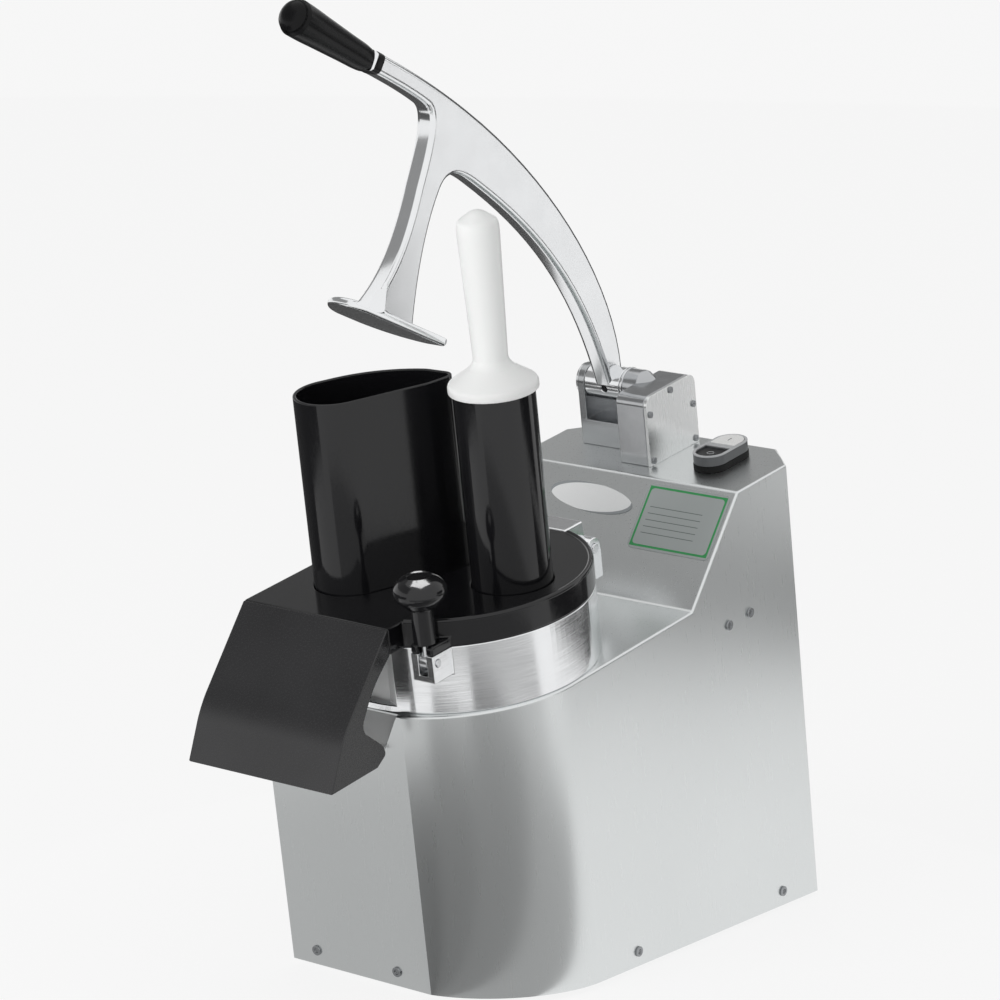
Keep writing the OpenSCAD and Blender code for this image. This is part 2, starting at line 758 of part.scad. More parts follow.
// Side outline of the cast arm: a is the distance in front of the hinge, b the height above it
module arm_outline() {
  rear = stem_a - stem_w / 2;
  front = stem_a + stem_w / 2;
  throat = arm_rise - neck_d - 1;
  mirror([1, 0]) polygon(concat(
    bezier([hub_r / 3, hub_r - 1], [reach / 5.5, arm_rise - 38], [reach / 1.75, arm_rise], [reach, arm_rise]),
    bezier([reach, arm_rise], [reach + 40, arm_rise], [reach + 80, arm_rise - 2], [neck_a, arm_rise - 9], 8),
    bezier([neck_a - 2, throat - 7], [neck_a - 40, throat - 2], [front + 42, throat],
      [front + 26, throat], 6),
    bezier([front + 26, throat], [front + 9, throat], [front + 4, throat - 26], [front, throat - 60]),
    bezier([front, throat - 60], [front - 6, 0], [front - 10, foot_b / 2], [front + 13, foot_b]),
    bezier([rear - 28, foot_b], [rear - 10, foot_b / 2], [rear + 1, 5], [rear, arch_rise - 25]),
    bezier([rear, arch_rise - 25], [rear, arch_rise - 5], [rear - 14, arch_rise], [rear - 42, arch_rise]),
    bezier([rear - 42, arch_rise], [reach / 1.95, arch_rise + 1], [reach / 3.6, arch_rise - 20],
      [hub_r - 2, -hub_r / 2])));
}
module lever_arm() {
  color(alloy) lever_pose() difference() {
    union() {
      bar(hub_left, hub_right, hub_r);
      translate([hub_mid + 1, 0, 0]) rotate([0, 0, arm_toe]) across(-arm_t / 2, arm_t / 2) arm_outline();
    }
    bar(hub_left - cut, hub_right + cut, pin_r + run_gap);
    hub_screw_axis() cylinder(h = hub_r + cut, r = hub_screw_r + run_gap);
    grip_axis() translate([0, 0, -spigot_len]) cylinder(h = spigot_len + 2 * cut, r = spigot_r + set_gap);
    plate_screw_places() translate([0, 0, -cut]) cylinder(h = 18 + cut, r = plate_screw_r + run_gap);
    // The stem's flared foot ends at the plate's edge
    translate([0, 0, foot_b - cut]) linear_extrude(foot_flare) difference() {
      translate([-body_w, -2 * reach]) square([2 * body_w, 2 * reach]);
      plate_plan();
    }
  }
}
// Grub screw in the hub, set below the hub's surface
hub_screw_r = 3;
module hub_screw_axis() {
  translate([hub_mid - 6, 0, 0]) rotate([90 - lever_raise, 0, 0]) children();
}
module hub_screw() {
  color(dark) lever_pose() hub_screw_axis() difference() {
    translate([0, 0, pin_r + 3 * run_gap]) cylinder(h = hub_r - pin_r - 3, r = hub_screw_r);
    translate([0, 0, hub_r - 4]) cylinder(h = 4, r = hub_screw_r / 2, $fn = 6);
  }
}
module plate_plan() {
  translate([0, -reach]) scale([1, plate_squeeze]) translate([0, -plate_u])
    hopper_plan(hopper_wall + plate_gap);
}
module press_plate() {
  color(polished) lever_pose() difference() {
    translate([0, 0, -plate_drop]) linear_extrude(plate_t) plate_plan();
    plate_screw_places() {
      translate([0, 0, -plate_t - cut]) cylinder(h = plate_t + 2 * cut, r = plate_screw_r + run_gap);
      translate([0, 0, -plate_t - cut]) cylinder(h = 3 + cut, r = 2 * plate_screw_r);
    }
  }
}
plate_screw_r = 2.5;
plate_screw_pitch = 34;
module plate_screw_places() {
  translate([hub_mid + 1, 0, 0]) rotate([0, 0, arm_toe])
    for (side = [-1, 1]) translate([0, -stem_a + 6 + side * plate_screw_pitch / 2, foot_b]) children();
}
module plate_screws() {
  color(steel) lever_pose() plate_screw_places() {
    translate([0, 0, -plate_t + 3]) cylinder(h = plate_t - 3 + 14, r = plate_screw_r);
    translate([0, 0, -plate_t + 1]) cylinder(h = 2, r = 2 * plate_screw_r - set_gap);
  }
}
// The grip sits on a spigot at the arm's end
spigot_r = 5;
spigot_len = 20;
module grip_axis() {
  translate([hub_mid + 1, 0, 0]) rotate([0, 0, arm_toe])
    translate([0, -neck_a + 1, arm_rise - 9 - neck_d / 2]) rotate([90 + grip_dip, 0, 0]) children();
}
module lever_grip() {
  neck_r = 11;
  color(black) lever_pose() grip_axis() translate([0, 0, 2]) rotate_extrude()
    polygon(concat([[0, -spigot_len], [spigot_r, -spigot_len], [spigot_r, 0], [neck_r - 1, 0], [neck_r, 1]],
      bezier([neck_r, 2], [neck_r + 1, 30], [grip_r, 60], [grip_r, grip_len - grip_r], 8),
      bezier([grip_r, grip_len - grip_r], [grip_r, grip_len - 4], [grip_r / 2, grip_len], [0, grip_len], 8)));
}

// Latch: a swinging eye bolt on a pin through the bowl's lug, with a knob screwed on it
module latch_pin() {
  color(polished) leaning() translate([0, latch_u, latch_v])
    bar(latch_x - latch_w / 2, latch_x + latch_w / 2 + 1, latch_pin_r);
}
module swing_bolt() {
  eye_w = latch_slot - 0.7;
  color(steel) leaning() translate([latch_x, latch_u, latch_v]) difference() {
    union() {
      bar(-eye_w / 2, eye_w / 2, eye_r);
      cylinder(h = sleeve_foot - latch_v + sleeve_h, r = bolt_r);
    }
    bar(-eye_w, eye_w, latch_pin_r + run_gap);
  }
}
module latch_knob() {
  head_h = 28;
  color(black) leaning() translate([latch_x, latch_u, sleeve_foot]) rotate_extrude()
    polygon(concat([[bolt_r + run_gap, 0], [sleeve_r, 0], [sleeve_r, sleeve_h - 2]],
      bezier([sleeve_r + 1, sleeve_h], [knob_r - 4, sleeve_h + 1], [knob_r, sleeve_h + 6],
        [knob_r, sleeve_h + 12], 8),
      bezier([knob_r, sleeve_h + 12], [knob_r - 1, sleeve_h + 22], [knob_r / 2, sleeve_h + head_h],
        [0, sleeve_h + head_h], 8),
      [[0, sleeve_h + set_gap], [bolt_r + run_gap, sleeve_h + set_gap]]));
}

// Switch on the rear deck: gasket, housing and two buttons
module stadium(w, len) {
  translate([0, -(len - w) / 2]) circle(r = w / 2);
  translate([0, (len - w) / 2]) circle(r = w / 2);
  translate([-w / 2, -(len - w) / 2]) square([w, len - w]);
}
module on_switch() {
  leaning() translate([switch_x, switch_u, rear_deck_h]) children();
}
module switch_gasket() {
  color(black) on_switch() linear_extrude(gasket_h) stadium(switch_w, switch_len);
}
switch_bar = 6;
button_r = switch_w / 2 - 3;
button_mid = (switch_len - switch_w) / 2;
well_floor = 3;
// Half-round well at one end of the housing; the stop button's end faces the front
module button_plan(side, gap) {
  intersection() {
    translate([0, side * button_mid]) circle(r = button_r + gap);
    translate([-switch_w, side > 0 ? switch_bar / 2 - gap : -switch_len])
      square([2 * switch_w, switch_len - switch_bar / 2 + gap]);
  }
}
module switch_housing() {
  color(dark) on_switch() difference() {
    translate([0, 0, gasket_h]) linear_extrude(switch_h) stadium(switch_w - 1, switch_len - 1);
    for (side = [-1, 1]) translate([0, 0, gasket_h + well_floor])
      linear_extrude(switch_h) button_plan(side, button_gap);
  }
}
module button(side, top) {
  base = gasket_h + well_floor + button_travel + seat_gap;
  on_switch() {
    translate([0, 0, base]) linear_extrude(gasket_h + switch_h + top - base) button_plan(side, 0);
    translate([0, side * button_mid, gasket_h + well_floor + button_travel])
      cylinder(h = 2 * seat_gap, r = button_r / 3);
  }
}
module start_button() {
  color(white) button(1, 1.2);
}
module stop_button() {
  color(black) button(-1, -1.2);
}

// Plates stuck to the sloped panel: s runs up the slope from its foot
module on_slope(x, s) {
  leaning() translate([0, slope_foot, deck_h]) rotate([slope_angle, 0, 0])
    translate([x, s, 0]) children();
}
panel_x = half_w - 46;
panel_s = 76;
badge_x = -35;
badge_s = 86;
badge_w = 82;
badge_h = 36;
module instruction_plate() {
  color(white) on_slope(panel_x - panel_w / 2, panel_s - panel_h / 2) cube([panel_w, panel_h, panel_t]);
}
module oval_badge() {
  color(white) on_slope(badge_x, badge_s) linear_extrude(panel_t)
    polygon([for (a = [0:5:355]) [badge_w / 2 * cos(a), badge_h / 2 * sin(a)]]);
}

// Drive under the low deck: plate, bearing housing, shaft, pulleys, belt and motor
module drive_plate() {
  color(steel) leaning() difference() {
    upwards(drive_plate_v, drive_plate_v + drive_plate_t) casing_plan(sheet + set_gap);
    translate([0, nose_u, drive_plate_v - cut]) cylinder(h = drive_plate_t + 2 * cut, r = bearing_r + 2);
    translate([0, motor_u, drive_plate_v - cut]) cylinder(h = drive_plate_t + 2 * cut, r = motor_shaft_r + 3);
    motor_bolt_places() translate([0, 0, -cut])
      cylinder(h = drive_plate_t + 2 * cut, r = motor_bolt_r + run_gap);
    translate([0, nose_u, drive_plate_v - cut]) housing_bolt_ring()
      cylinder(h = drive_plate_t + 2 * cut, r = motor_bolt_r + run_gap);
    upwards(drive_plate_v - cut, drive_plate_v + drive_plate_t + cut)
      translate([-half_w, -cut]) square([body_w, sheet + set_gap + 8 + cut]);
  }
  color(steel) casing_lugs();
}
// Folded lugs at the plate's sides that take the upper casing screws
lug_margin = 13;
module casing_lugs() {
  difference() {
    leaning() for (side = [-1, 1]) {
      x = side * (half_w - sheet - set_gap - tray_t / 2);
      translate([x - tray_t / 2, high_screws[0] - lug_margin, drive_plate_v])
        cube([tray_t, high_screws[1] - high_screws[0] + 2 * lug_margin,
          high_screw_v + lug_margin - drive_plate_v]);
    }
    casing_screw_holes();
  }
}
module bearing_housing() {
  color(alloy) leaning() translate([0, nose_u, drive_plate_v - housing_h]) difference() {
    union() {
      cylinder(h = housing_h, r = housing_r);
      translate([0, 0, housing_h - housing_rim]) cylinder(h = housing_rim, r = housing_r + 16);
    }
    translate([0, 0, -cut]) cylinder(h = housing_h + 2 * cut, r = shaft_r + 4);
    for (v = [-cut, housing_h - bearing_w]) translate([0, 0, v])
      cylinder(h = bearing_w + cut, r = bearing_r + run_gap);
    housing_bolt_ring() translate([0, 0, housing_h - housing_rim - cut])
      cylinder(h = housing_rim + 2 * cut, r = motor_bolt_r + run_gap);
  }
}
module housing_bolt_ring() {
  for (a = [45:90:315]) rotate([0, 0, a]) translate([housing_r + 8, 0, 0]) children();
}
module housing_bolts() {
  color(steel) leaning() translate([0, nose_u, drive_plate_v]) housing_bolt_ring() {
    translate([0, 0, -housing_rim]) cylinder(h = housing_rim + drive_plate_t, r = motor_bolt_r);
    translate([0, 0, -housing_rim - 4]) cylinder(h = 4, r = 1.8 * motor_bolt_r, $fn = 6);
  }
}
module shaft_bearings() {
  color(polished) leaning() for (v = [0, housing_h - bearing_w])
    translate([0, nose_u, drive_plate_v - housing_h + v]) difference() {
      cylinder(h = bearing_w, r = bearing_r);
      translate([0, 0, -cut]) cylinder(h = bearing_w + 2 * cut, r = shaft_r + run_gap);
    }
}
spindle_r = shaft_r - 2;
module drive_shaft() {
  low = drive_plate_v - housing_h - 6;
  color(polished) leaning() translate([0, nose_u, 0]) {
    translate([0, 0, low]) cylinder(h = ejector_v - low, r = shaft_r);
    translate([0, 0, ejector_v]) cylinder(h = disc_v - 2 - ejector_v, r = spindle_r);
    translate([0, 0, low - 3]) cylinder(h = 3, r = shaft_r + 3);
  }
}
module grooved_pulley(r, bore) {
  rotate_extrude() polygon([[bore, 0], [r + 3, 0], [r + 3, 2], [r, 2], [r, pulley_w - 2],
    [r + 3, pulley_w - 2], [r + 3, pulley_w], [bore, pulley_w]]);
}
module driven_pulley() {
  color(alloy) leaning() translate([0, nose_u, pulley_v]) difference() {
    grooved_pulley(driven_r, shaft_r);
    for (a = [0:60:300]) rotate([0, 0, a]) translate([driven_r * 0.6, 0, -cut])
      cylinder(h = pulley_w + 2 * cut, r = driven_r * 0.19);
  }
}
module motor_pulley() {
  color(alloy) leaning() translate([0, motor_u, 0]) {
    translate([0, 0, pulley_v]) grooved_pulley(motor_pulley_r, motor_shaft_r);
    translate([0, 0, drive_plate_v - shaft_hold])
      cylinder(h = shaft_hold + pulley_v + pulley_w + 2 - drive_plate_v, r = motor_shaft_r);
  }
}
module belt_loop(extra) {
  hull() {
    translate([0, nose_u]) circle(r = driven_r + extra, $fn = 64);
    translate([0, motor_u]) circle(r = motor_pulley_r + extra, $fn = 32);
  }
}
module drive_belt() {
  color(rubber) leaning() upwards(pulley_v + 2 + belt_gap, pulley_v + pulley_w - 2 - belt_gap) difference() {
    belt_loop(belt_gap + belt_t);
    belt_loop(belt_gap);
  }
}
module ejector_disc() {
  hub = spindle_r + 8;
  color(white) leaning() translate([0, nose_u, ejector_v]) difference() {
    union() {
      cylinder(h = ejector_t, r = disc_r - 3);
      cylinder(h = disc_v - 3 - ejector_v, r = hub);
      for (a = [0, 120, 240]) rotate([0, 0, a]) translate([hub - 2, -2.5, 0])
        cube([disc_r - 8 - hub, 5, 20]);
    }
    translate([0, 0, -cut]) cylinder(h = bowl_h + lid_h, r = spindle_r + run_gap);
  }
}
blade_len = 70;
blade_w = 16;
module blade_places() {
  for (i = [0:blade_count - 1]) translate([0, nose_u, disc_v]) rotate([0, 0, i * 360 / blade_count])
    translate([disc_r - 12 - blade_len, 0, 0]) children();
}
module cutting_disc() {
  color(alloy) leaning() difference() {
    union() {
      translate([0, nose_u, disc_v]) cylinder(h = disc_t, r = disc_r);
      translate([0, nose_u, disc_v - 2]) cylinder(h = 2, r = 3 * spindle_r);
    }
    blade_places() translate([0, -3, -cut - 2]) cube([blade_len, blade_w + 8, disc_t + 2 * cut + 2]);
  }
}
module disc_blades() {
  color(polished) leaning() blade_places() {
    translate([0, blade_w - 5, 1]) cube([blade_len, 10, 2]);
    translate([0, 1, disc_t - 0.5]) rotate([-8, 0, 0]) cube([blade_len, blade_w, 1.5]);
  }
}
motor_bolt_r = 3;
module motor_bolt_places() {
  for (a = [45:90:315]) translate([0, motor_u, drive_plate_v]) rotate([0, 0, a])
    translate([motor_r - 12, 0, 0]) children();
}
module motor() {
  fins = 9;
  color(dark) leaning() translate([0, motor_u, drive_plate_v - motor_len]) difference() {
    union() {
      cylinder(h = motor_len - seat_gap, r = motor_r - 6);
      for (i = [0:fins - 1]) translate([0, 0, 12 + i * (motor_len - 40) / fins]) cylinder(h = 5, r = motor_r);
      translate([0, 0, motor_len - 10]) cylinder(h = 10, r = motor_r);
      cylinder(h = 8, r = motor_r);
    }
    translate([0, 0, motor_len - shaft_hold - cut])
      cylinder(h = shaft_hold + 2 * cut, r = motor_shaft_r + run_gap);
    motor_bolt_holes();
  }
}
module motor_bolt_holes() {
  for (a = [45:90:315]) rotate([0, 0, a]) translate([motor_r - 12, 0, motor_len - 14])
    cylinder(h = 15, r = motor_bolt_r + run_gap);
}
module motor_bolts() {
  color(steel) leaning() motor_bolt_places() {
    translate([0, 0, -12]) cylinder(h = 12 + drive_plate_t, r = motor_bolt_r);
    translate([0, 0, drive_plate_t]) cylinder(h = 4, r = 1.8 * motor_bolt_r, $fn = 6);
  }
}
capacitor_r = 17;
capacitor_h = 62;
capacitor_u = 169;
capacitor_tab = [3, 8, 8];
module run_capacitor() {
  capacitor_v = drive_plate_v - capacitor_h;
  color(dark) leaning() translate([half_w - sheet - 2 * capacitor_r, capacitor_u, capacitor_v]) {
    cylinder(h = capacitor_h, r = capacitor_r);
    for (side = [-1, 1]) translate([side * capacitor_r / 3 - capacitor_tab[0] / 2, -capacitor_tab[1] / 2,
      -capacitor_tab[2]]) cube(capacitor_tab);
  }
}
terminal_size = [24, 90, 70];
terminal_u = 219;
terminal_v = 20;
module terminal_box() {
  color(dark) leaning() translate([-half_w + sheet + set_gap, terminal_u, terminal_v]) cube(terminal_size);
}
module cable_gland() {
  color(black) leaning() translate([gland_x, body_len, gland_v]) rotate([-90, 0, 0]) difference() {
    union() {
      translate([0, 0, -sheet - 6]) cylinder(h = sheet + 6, r = gland_r);
      cylinder(h = 5, r = gland_r * 1.5, $fn = 6);
      translate([0, 0, 5]) cylinder(h = 8, r1 = gland_r * 1.3, r2 = gland_r * 0.95);
      translate([0, 0, -sheet - 5]) cylinder(h = 5, r = gland_r * 1.5, $fn = 6);
    }
    translate([0, 0, -20]) cylinder(h = 40, r = gland_r / 2);
  }
}

body_shell();
deck_cover();
rear_panel();
base_tray();
feet();
foot_screws();
casing_screws();
discharge_ramp();
bowl();
bowl_screws();
shaft_seal();
lid();
chute_hood();
half_moon_hopper();
round_hopper();
lid_hinge_block();
lid_hinge_pin();
hand_pusher();
lever_bracket();
bracket_bolts();
bracket_cover();
cover_screws();
hinge_pin();
pin_cap();
lever_switch();
lever_arm();
press_plate();
plate_screws();
lever_grip();
hub_screw();
latch_pin();
swing_bolt();
latch_knob();
switch_gasket();
switch_housing();
start_button();
stop_button();
instruction_plate();
oval_badge();
drive_plate();
bearing_housing();
housing_bolts();
shaft_bearings();
drive_shaft();
driven_pulley();
ejector_disc();
cutting_disc();
disc_blades();
drive_belt();
motor();
motor_bolts();
motor_pulley();
run_capacitor();
terminal_box();
cable_gland();
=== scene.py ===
# %% [markdown]
# # A bench vegetable cutter, dressed for its portrait
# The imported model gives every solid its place. This lesson gives those solids the folds, rounded
# edges and finishes that the real machine shows: satin sheet steel, polished aluminium, glossy
# black mouldings and a milky white pusher.

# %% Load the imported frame
import json
import math

import bmesh
import bpy
from mathutils import Matrix, Vector
from mathutils.geometry import interpolate_bezier


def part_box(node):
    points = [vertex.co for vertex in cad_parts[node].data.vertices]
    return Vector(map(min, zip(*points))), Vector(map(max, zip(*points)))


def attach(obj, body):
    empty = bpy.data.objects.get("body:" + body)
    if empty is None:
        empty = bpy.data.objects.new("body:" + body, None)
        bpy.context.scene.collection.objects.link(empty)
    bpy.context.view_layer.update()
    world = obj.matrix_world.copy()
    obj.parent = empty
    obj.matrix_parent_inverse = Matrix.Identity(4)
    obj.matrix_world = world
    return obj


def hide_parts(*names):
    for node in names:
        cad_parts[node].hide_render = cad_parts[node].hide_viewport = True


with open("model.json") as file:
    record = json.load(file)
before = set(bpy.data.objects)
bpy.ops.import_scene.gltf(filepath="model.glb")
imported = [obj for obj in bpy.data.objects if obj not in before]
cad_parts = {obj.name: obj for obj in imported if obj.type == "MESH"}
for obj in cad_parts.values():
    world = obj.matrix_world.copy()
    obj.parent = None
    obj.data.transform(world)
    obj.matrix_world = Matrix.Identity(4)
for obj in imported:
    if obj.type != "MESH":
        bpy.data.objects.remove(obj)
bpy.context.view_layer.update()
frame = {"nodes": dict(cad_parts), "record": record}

nodes = frame["nodes"]
scene = bpy.context.scene

# %% [markdown]
# ## The leaning frame
# The casing leans forward, so its walls, decks and bowl are square to each other but not to the
# floor. It is easier to model upright in millimetres, with x across, u to the back and v up along
# the walls, and to turn the finished mesh once. The turn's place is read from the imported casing.

# %% Frames for modelling
MM = 0.001
LEAN = math.radians(9.7)
BODY_LEN = 458
shell_low, shell_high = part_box("body_shell")
to_back = shell_high.y - BODY_LEN * MM / math.cos(LEAN)
scale_mm = Matrix.Scale(MM, 4)
leaning = Matrix.Translation((0, to_back, shell_low.z)) @ Matrix.Rotation(LEAN, 4, "X") @ scale_mm

HINGE_U, HINGE_V, LEVER_RAISE = 418, 382, math.radians(38.9)
on_hinge = leaning @ Matrix.Translation((0, HINGE_U, HINGE_V))
lever_pose = on_hinge @ Matrix.Rotation(-LEVER_RAISE, 4, "X")
Z_TO_X = Matrix.Rotation(math.pi / 2, 4, "Y")
print("lean", round(math.degrees(LEAN), 2), "frame shift", round(to_back, 4))

# %% [markdown]
# ## Helpers for meshes
# Four ways of making a piece cover nearly the whole machine. A turned piece is a profile whose
# corners are rounded before it is spun. A slab is an outline pulled across the machine's width.
# A carved piece has another shape cut out of it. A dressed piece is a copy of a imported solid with
# its triangles merged back into faces, so that a Bevel modifier can round its edges. All of them
# end in the same place: a mesh at the origin.

# %% Bevel, pull, spin and move
def soften(bm, geom, offset, segments, affect="EDGES"):
    bmesh.ops.bevel(bm, geom=geom, offset=offset, affect=affect, segments=segments, profile=0.5,
                    material=-1)


def pull(bm, faces, vec):
    """Extrude faces and move their new copies by vec."""
    made = bmesh.ops.extrude_face_region(bm, geom=faces)["geom"]
    ends = [g for g in made if isinstance(g, bmesh.types.BMVert)]
    bmesh.ops.translate(bm, vec=vec, verts=ends)
    bmesh.ops.recalc_face_normals(bm, faces=bm.faces[:])
    return bm


def spin_round(bm, degrees, steps, full=False):
    bmesh.ops.spin(bm, geom=bm.verts[:] + bm.edges[:], axis=(0, 0, 1), cent=(0, 0, 0),
                   angle=math.radians(degrees), steps=steps, use_merge=full)


def moved(bm, matrix):
    bmesh.ops.transform(bm, matrix=matrix, verts=bm.verts[:])
    return bm


def everything(bm):
    return bm.verts[:] + bm.edges[:] + bm.faces[:]


def link_mesh(name, bm):
    """Turn a bmesh into an object of the scene."""
    mesh = bpy.data.meshes.new(name)
    bm.to_mesh(mesh)
    bm.free()
    obj = bpy.data.objects.new(name, mesh)
    scene.collection.objects.link(obj)
    return obj


# %% Finish a bmesh as a piece
SMOOTH = math.radians(32)
pieces = []


def make_piece(name, bm, place, material, body, replaced=()):
    moved(bm, place).edges.index_update()
    open_edges = [e.index for e in bm.edges if e.is_boundary]
    obj = link_mesh(name, bm)
    mesh = obj.data
    for face in mesh.polygons:
        face.use_smooth = True
    mesh.set_sharp_from_angle(angle=SMOOTH)
    for i in open_edges:
        mesh.edges[i].use_edge_sharp = True
    mesh.materials.append(material)
    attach(obj, body)
    if replaced:
        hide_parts(*replaced)
    pieces.append(obj)
    return obj


# %% Wall and rounded edges as modifiers
EDGE_STEPS = 3


def wall_modifier(obj, thickness_mm):
    wall = obj.modifiers.new("wall", "SOLIDIFY")
    wall.thickness = thickness_mm * MM
    wall.offset = -1
    wall.use_even_offset = True


def round_edges(obj, width_mm):
    rounding = obj.modifiers.new("rounded edges", "BEVEL")
    rounding.width = width_mm * MM
    rounding.segments = EDGE_STEPS
    rounding.limit_method = "ANGLE"
    rounding.angle_limit = SMOOTH
    rounding.profile = 0.5
    rounding.use_clamp_overlap = False
    rounding.harden_normals = True


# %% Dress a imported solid
MERGE, FLAT_WITHIN = 2e-6, math.radians(0.4)


def dress(node, width_mm, material, body):
    bm = bmesh.new()
    bm.from_mesh(nodes[node].data)
    bmesh.ops.remove_doubles(bm, verts=bm.verts[:], dist=MERGE)
    bmesh.ops.dissolve_limit(bm, angle_limit=FLAT_WITHIN, verts=bm.verts[:], edges=bm.edges[:])
    obj = make_piece(node + "_dressed", bm, Matrix.Identity(4), material, body, (node,))
    round_edges(obj, width_mm)
    return obj


# %% Turn a profile
TURN_MERGE, CORNER_STEPS, HUB_STEPS, SCREW_STEPS = 0.005, 5, 72, 32


def turn(profile, steps=96, ring=False):
    """profile: (radius, height, rounding), from axis to axis, or closed on itself for a ring."""
    bm = bmesh.new()
    verts = [bm.verts.new((r, 0, h)) for r, h, _ in profile]
    for pair in zip(verts, verts[1:]):
        bm.edges.new(pair)
    if ring:
        bm.edges.new((verts[-1], verts[0]))
    corners = {}
    for vert, (_, _, rounding) in zip(verts, profile):
        corners.setdefault(rounding, []).append(vert)
    for rounding, group in corners.items():
        if rounding > 0:
            soften(bm, group, rounding, CORNER_STEPS, "VERTICES")
    spin_round(bm, 360, steps, full=True)
    bmesh.ops.remove_doubles(bm, verts=bm.verts[:], dist=TURN_MERGE)
    bmesh.ops.recalc_face_normals(bm, faces=bm.faces[:])
    return bm


# %% Pull an outline across
def slab(outline, x_from, x_to):
    bm = bmesh.new()
    face = bm.faces.new([bm.verts.new((x_from, u, v)) for u, v in outline])
    return pull(bm, [face], (x_to - x_from, 0, 0))


NEAR, CORNER = 0.1, 60


def edges_at(bm, u, v):
    return [e for e in bm.edges
            if all(abs(p.co.y - u) < NEAR and abs(p.co.z - v) < NEAR for p in e.verts)]


def sharp_edges(bm, degrees=CORNER):
    return [e for e in bm.edges
            if len(e.link_faces) == 2 and e.calc_face_angle() > math.radians(degrees)]


# %% Carve one shape out of another
def carve(bm, cutter, operation="DIFFERENCE"):
    pair = [link_mesh("blank", part) for part in (bm, cutter)]
    cut = pair[0].modifiers.new("cut", "BOOLEAN")
    cut.operation = operation
    cut.object = pair[1]
    result = bmesh.new()
    result.from_object(pair[0], bpy.context.evaluated_depsgraph_get())
    for blank in pair:
        bpy.data.meshes.remove(blank.data)
    return result


# %% [markdown]
# ## Shared surface effects
# Two effects return on many finishes: the fine drawn grain of sheet metal, and a soft mottle that
# keeps big plain faces from looking computed. Each is a node group that puts out values which
# change over the surface, so that a material only decides how strongly to use them.

# %% Node groups
def new_group(name, inputs, outputs):
    group = bpy.data.node_groups.new(name, "ShaderNodeTree")
    for socket, kind, value in inputs:
        made = group.interface.new_socket(socket, in_out="INPUT", socket_type=kind)
        if value is not None:
            made.default_value = value
    for socket, kind in outputs:
        group.interface.new_socket(socket, in_out="OUTPUT", socket_type=kind)
    return group, group.nodes.new("NodeGroupInput"), group.nodes.new("NodeGroupOutput")


FLOAT, VECTOR = "NodeSocketFloat", "NodeSocketVector"
NOISE_LOW, NOISE_HIGH = 0.3, 0.7


def spread_noise(tree, vector, scale_from, detail):
    """Noise whose middle range is stretched to run from 0 to 1."""
    noise = tree.nodes.new("ShaderNodeTexNoise")
    noise.inputs["Detail"].default_value = detail
    tree.links.new(vector, noise.inputs["Vector"])
    tree.links.new(scale_from, noise.inputs["Scale"])
    spread = tree.nodes.new("ShaderNodeMapRange")
    spread.inputs["From Min"].default_value = NOISE_LOW
    spread.inputs["From Max"].default_value = NOISE_HIGH
    tree.links.new(noise.outputs["Fac"], spread.inputs["Value"])
    return spread.outputs["Result"]


def drawn_grain():
    inputs = [("Vector", VECTOR, None), ("Stretch", VECTOR, (1, 1, 1)), ("Scale", FLOAT, 900.0)]
    group, take, give = new_group("drawn grain", inputs, [("Lines", FLOAT)])
    drawn = group.nodes.new("ShaderNodeVectorMath")
    drawn.operation = "MULTIPLY"
    group.links.new(take.outputs["Vector"], drawn.inputs[0])
    group.links.new(take.outputs["Stretch"], drawn.inputs[1])
    lines = spread_noise(group, drawn.outputs[0], take.outputs["Scale"], 3)
    group.links.new(lines, give.inputs["Lines"])
    return group


def soft_mottle():
    group, take, give = new_group("soft mottle", [("Vector", VECTOR, None), ("Scale", FLOAT, 14.0)],
                                  [("Cloud", FLOAT), ("Speck", FLOAT)])
    for scale_by, detail, socket in ((1.0, 2, "Cloud"), (60.0, 4, "Speck")):
        size = group.nodes.new("ShaderNodeMath")
        size.operation = "MULTIPLY"
        size.inputs[1].default_value = scale_by
        group.links.new(take.outputs["Scale"], size.inputs[0])
        made = spread_noise(group, take.outputs["Vector"], size.outputs[0], detail)
        group.links.new(made, give.inputs[socket])
    return group


grain_group, mottle_group = drawn_grain(), soft_mottle()
print("groups", grain_group.name, mottle_group.name)

# %% [markdown]
# ## Finishes
# Metal, moulded plastic and rubber differ in colour, gloss and how their gloss varies. One builder
# takes those numbers and wires the two effects into colour, roughness and bump. A Mapping node
# turns the pattern by the lean, so that the grain runs along the walls and round the bowl.

# %% Finish builder
def tint(color, by):
    return tuple(min(1.0, max(0.0, c * by)) for c in color) + (1.0,)


def add_group(tree, group, vector, **values):
    node = tree.nodes.new("ShaderNodeGroup")
    node.node_tree = group
    tree.links.new(vector, node.inputs["Vector"])
    for socket, value in values.items():
        node.inputs[socket].default_value = value
    return node


def turned_coords(tree, place=(0, 0, 0), turn_x=LEAN):
    coords = tree.nodes.new("ShaderNodeTexCoord")
    turned = tree.nodes.new("ShaderNodeMapping")
    turned.vector_type = "TEXTURE"
    turned.inputs["Location"].default_value = place
    turned.inputs["Rotation"].default_value = (turn_x, 0, 0)
    tree.links.new(coords.outputs["Object"], turned.inputs["Vector"])
    return turned.outputs["Vector"]


SMOOTHEST, BUMP_DEPTH, GLOW_DEPTH, GLOW_RADIUS = 0.02, 0.0002, 0.025, (0.9, 1.0, 0.95)


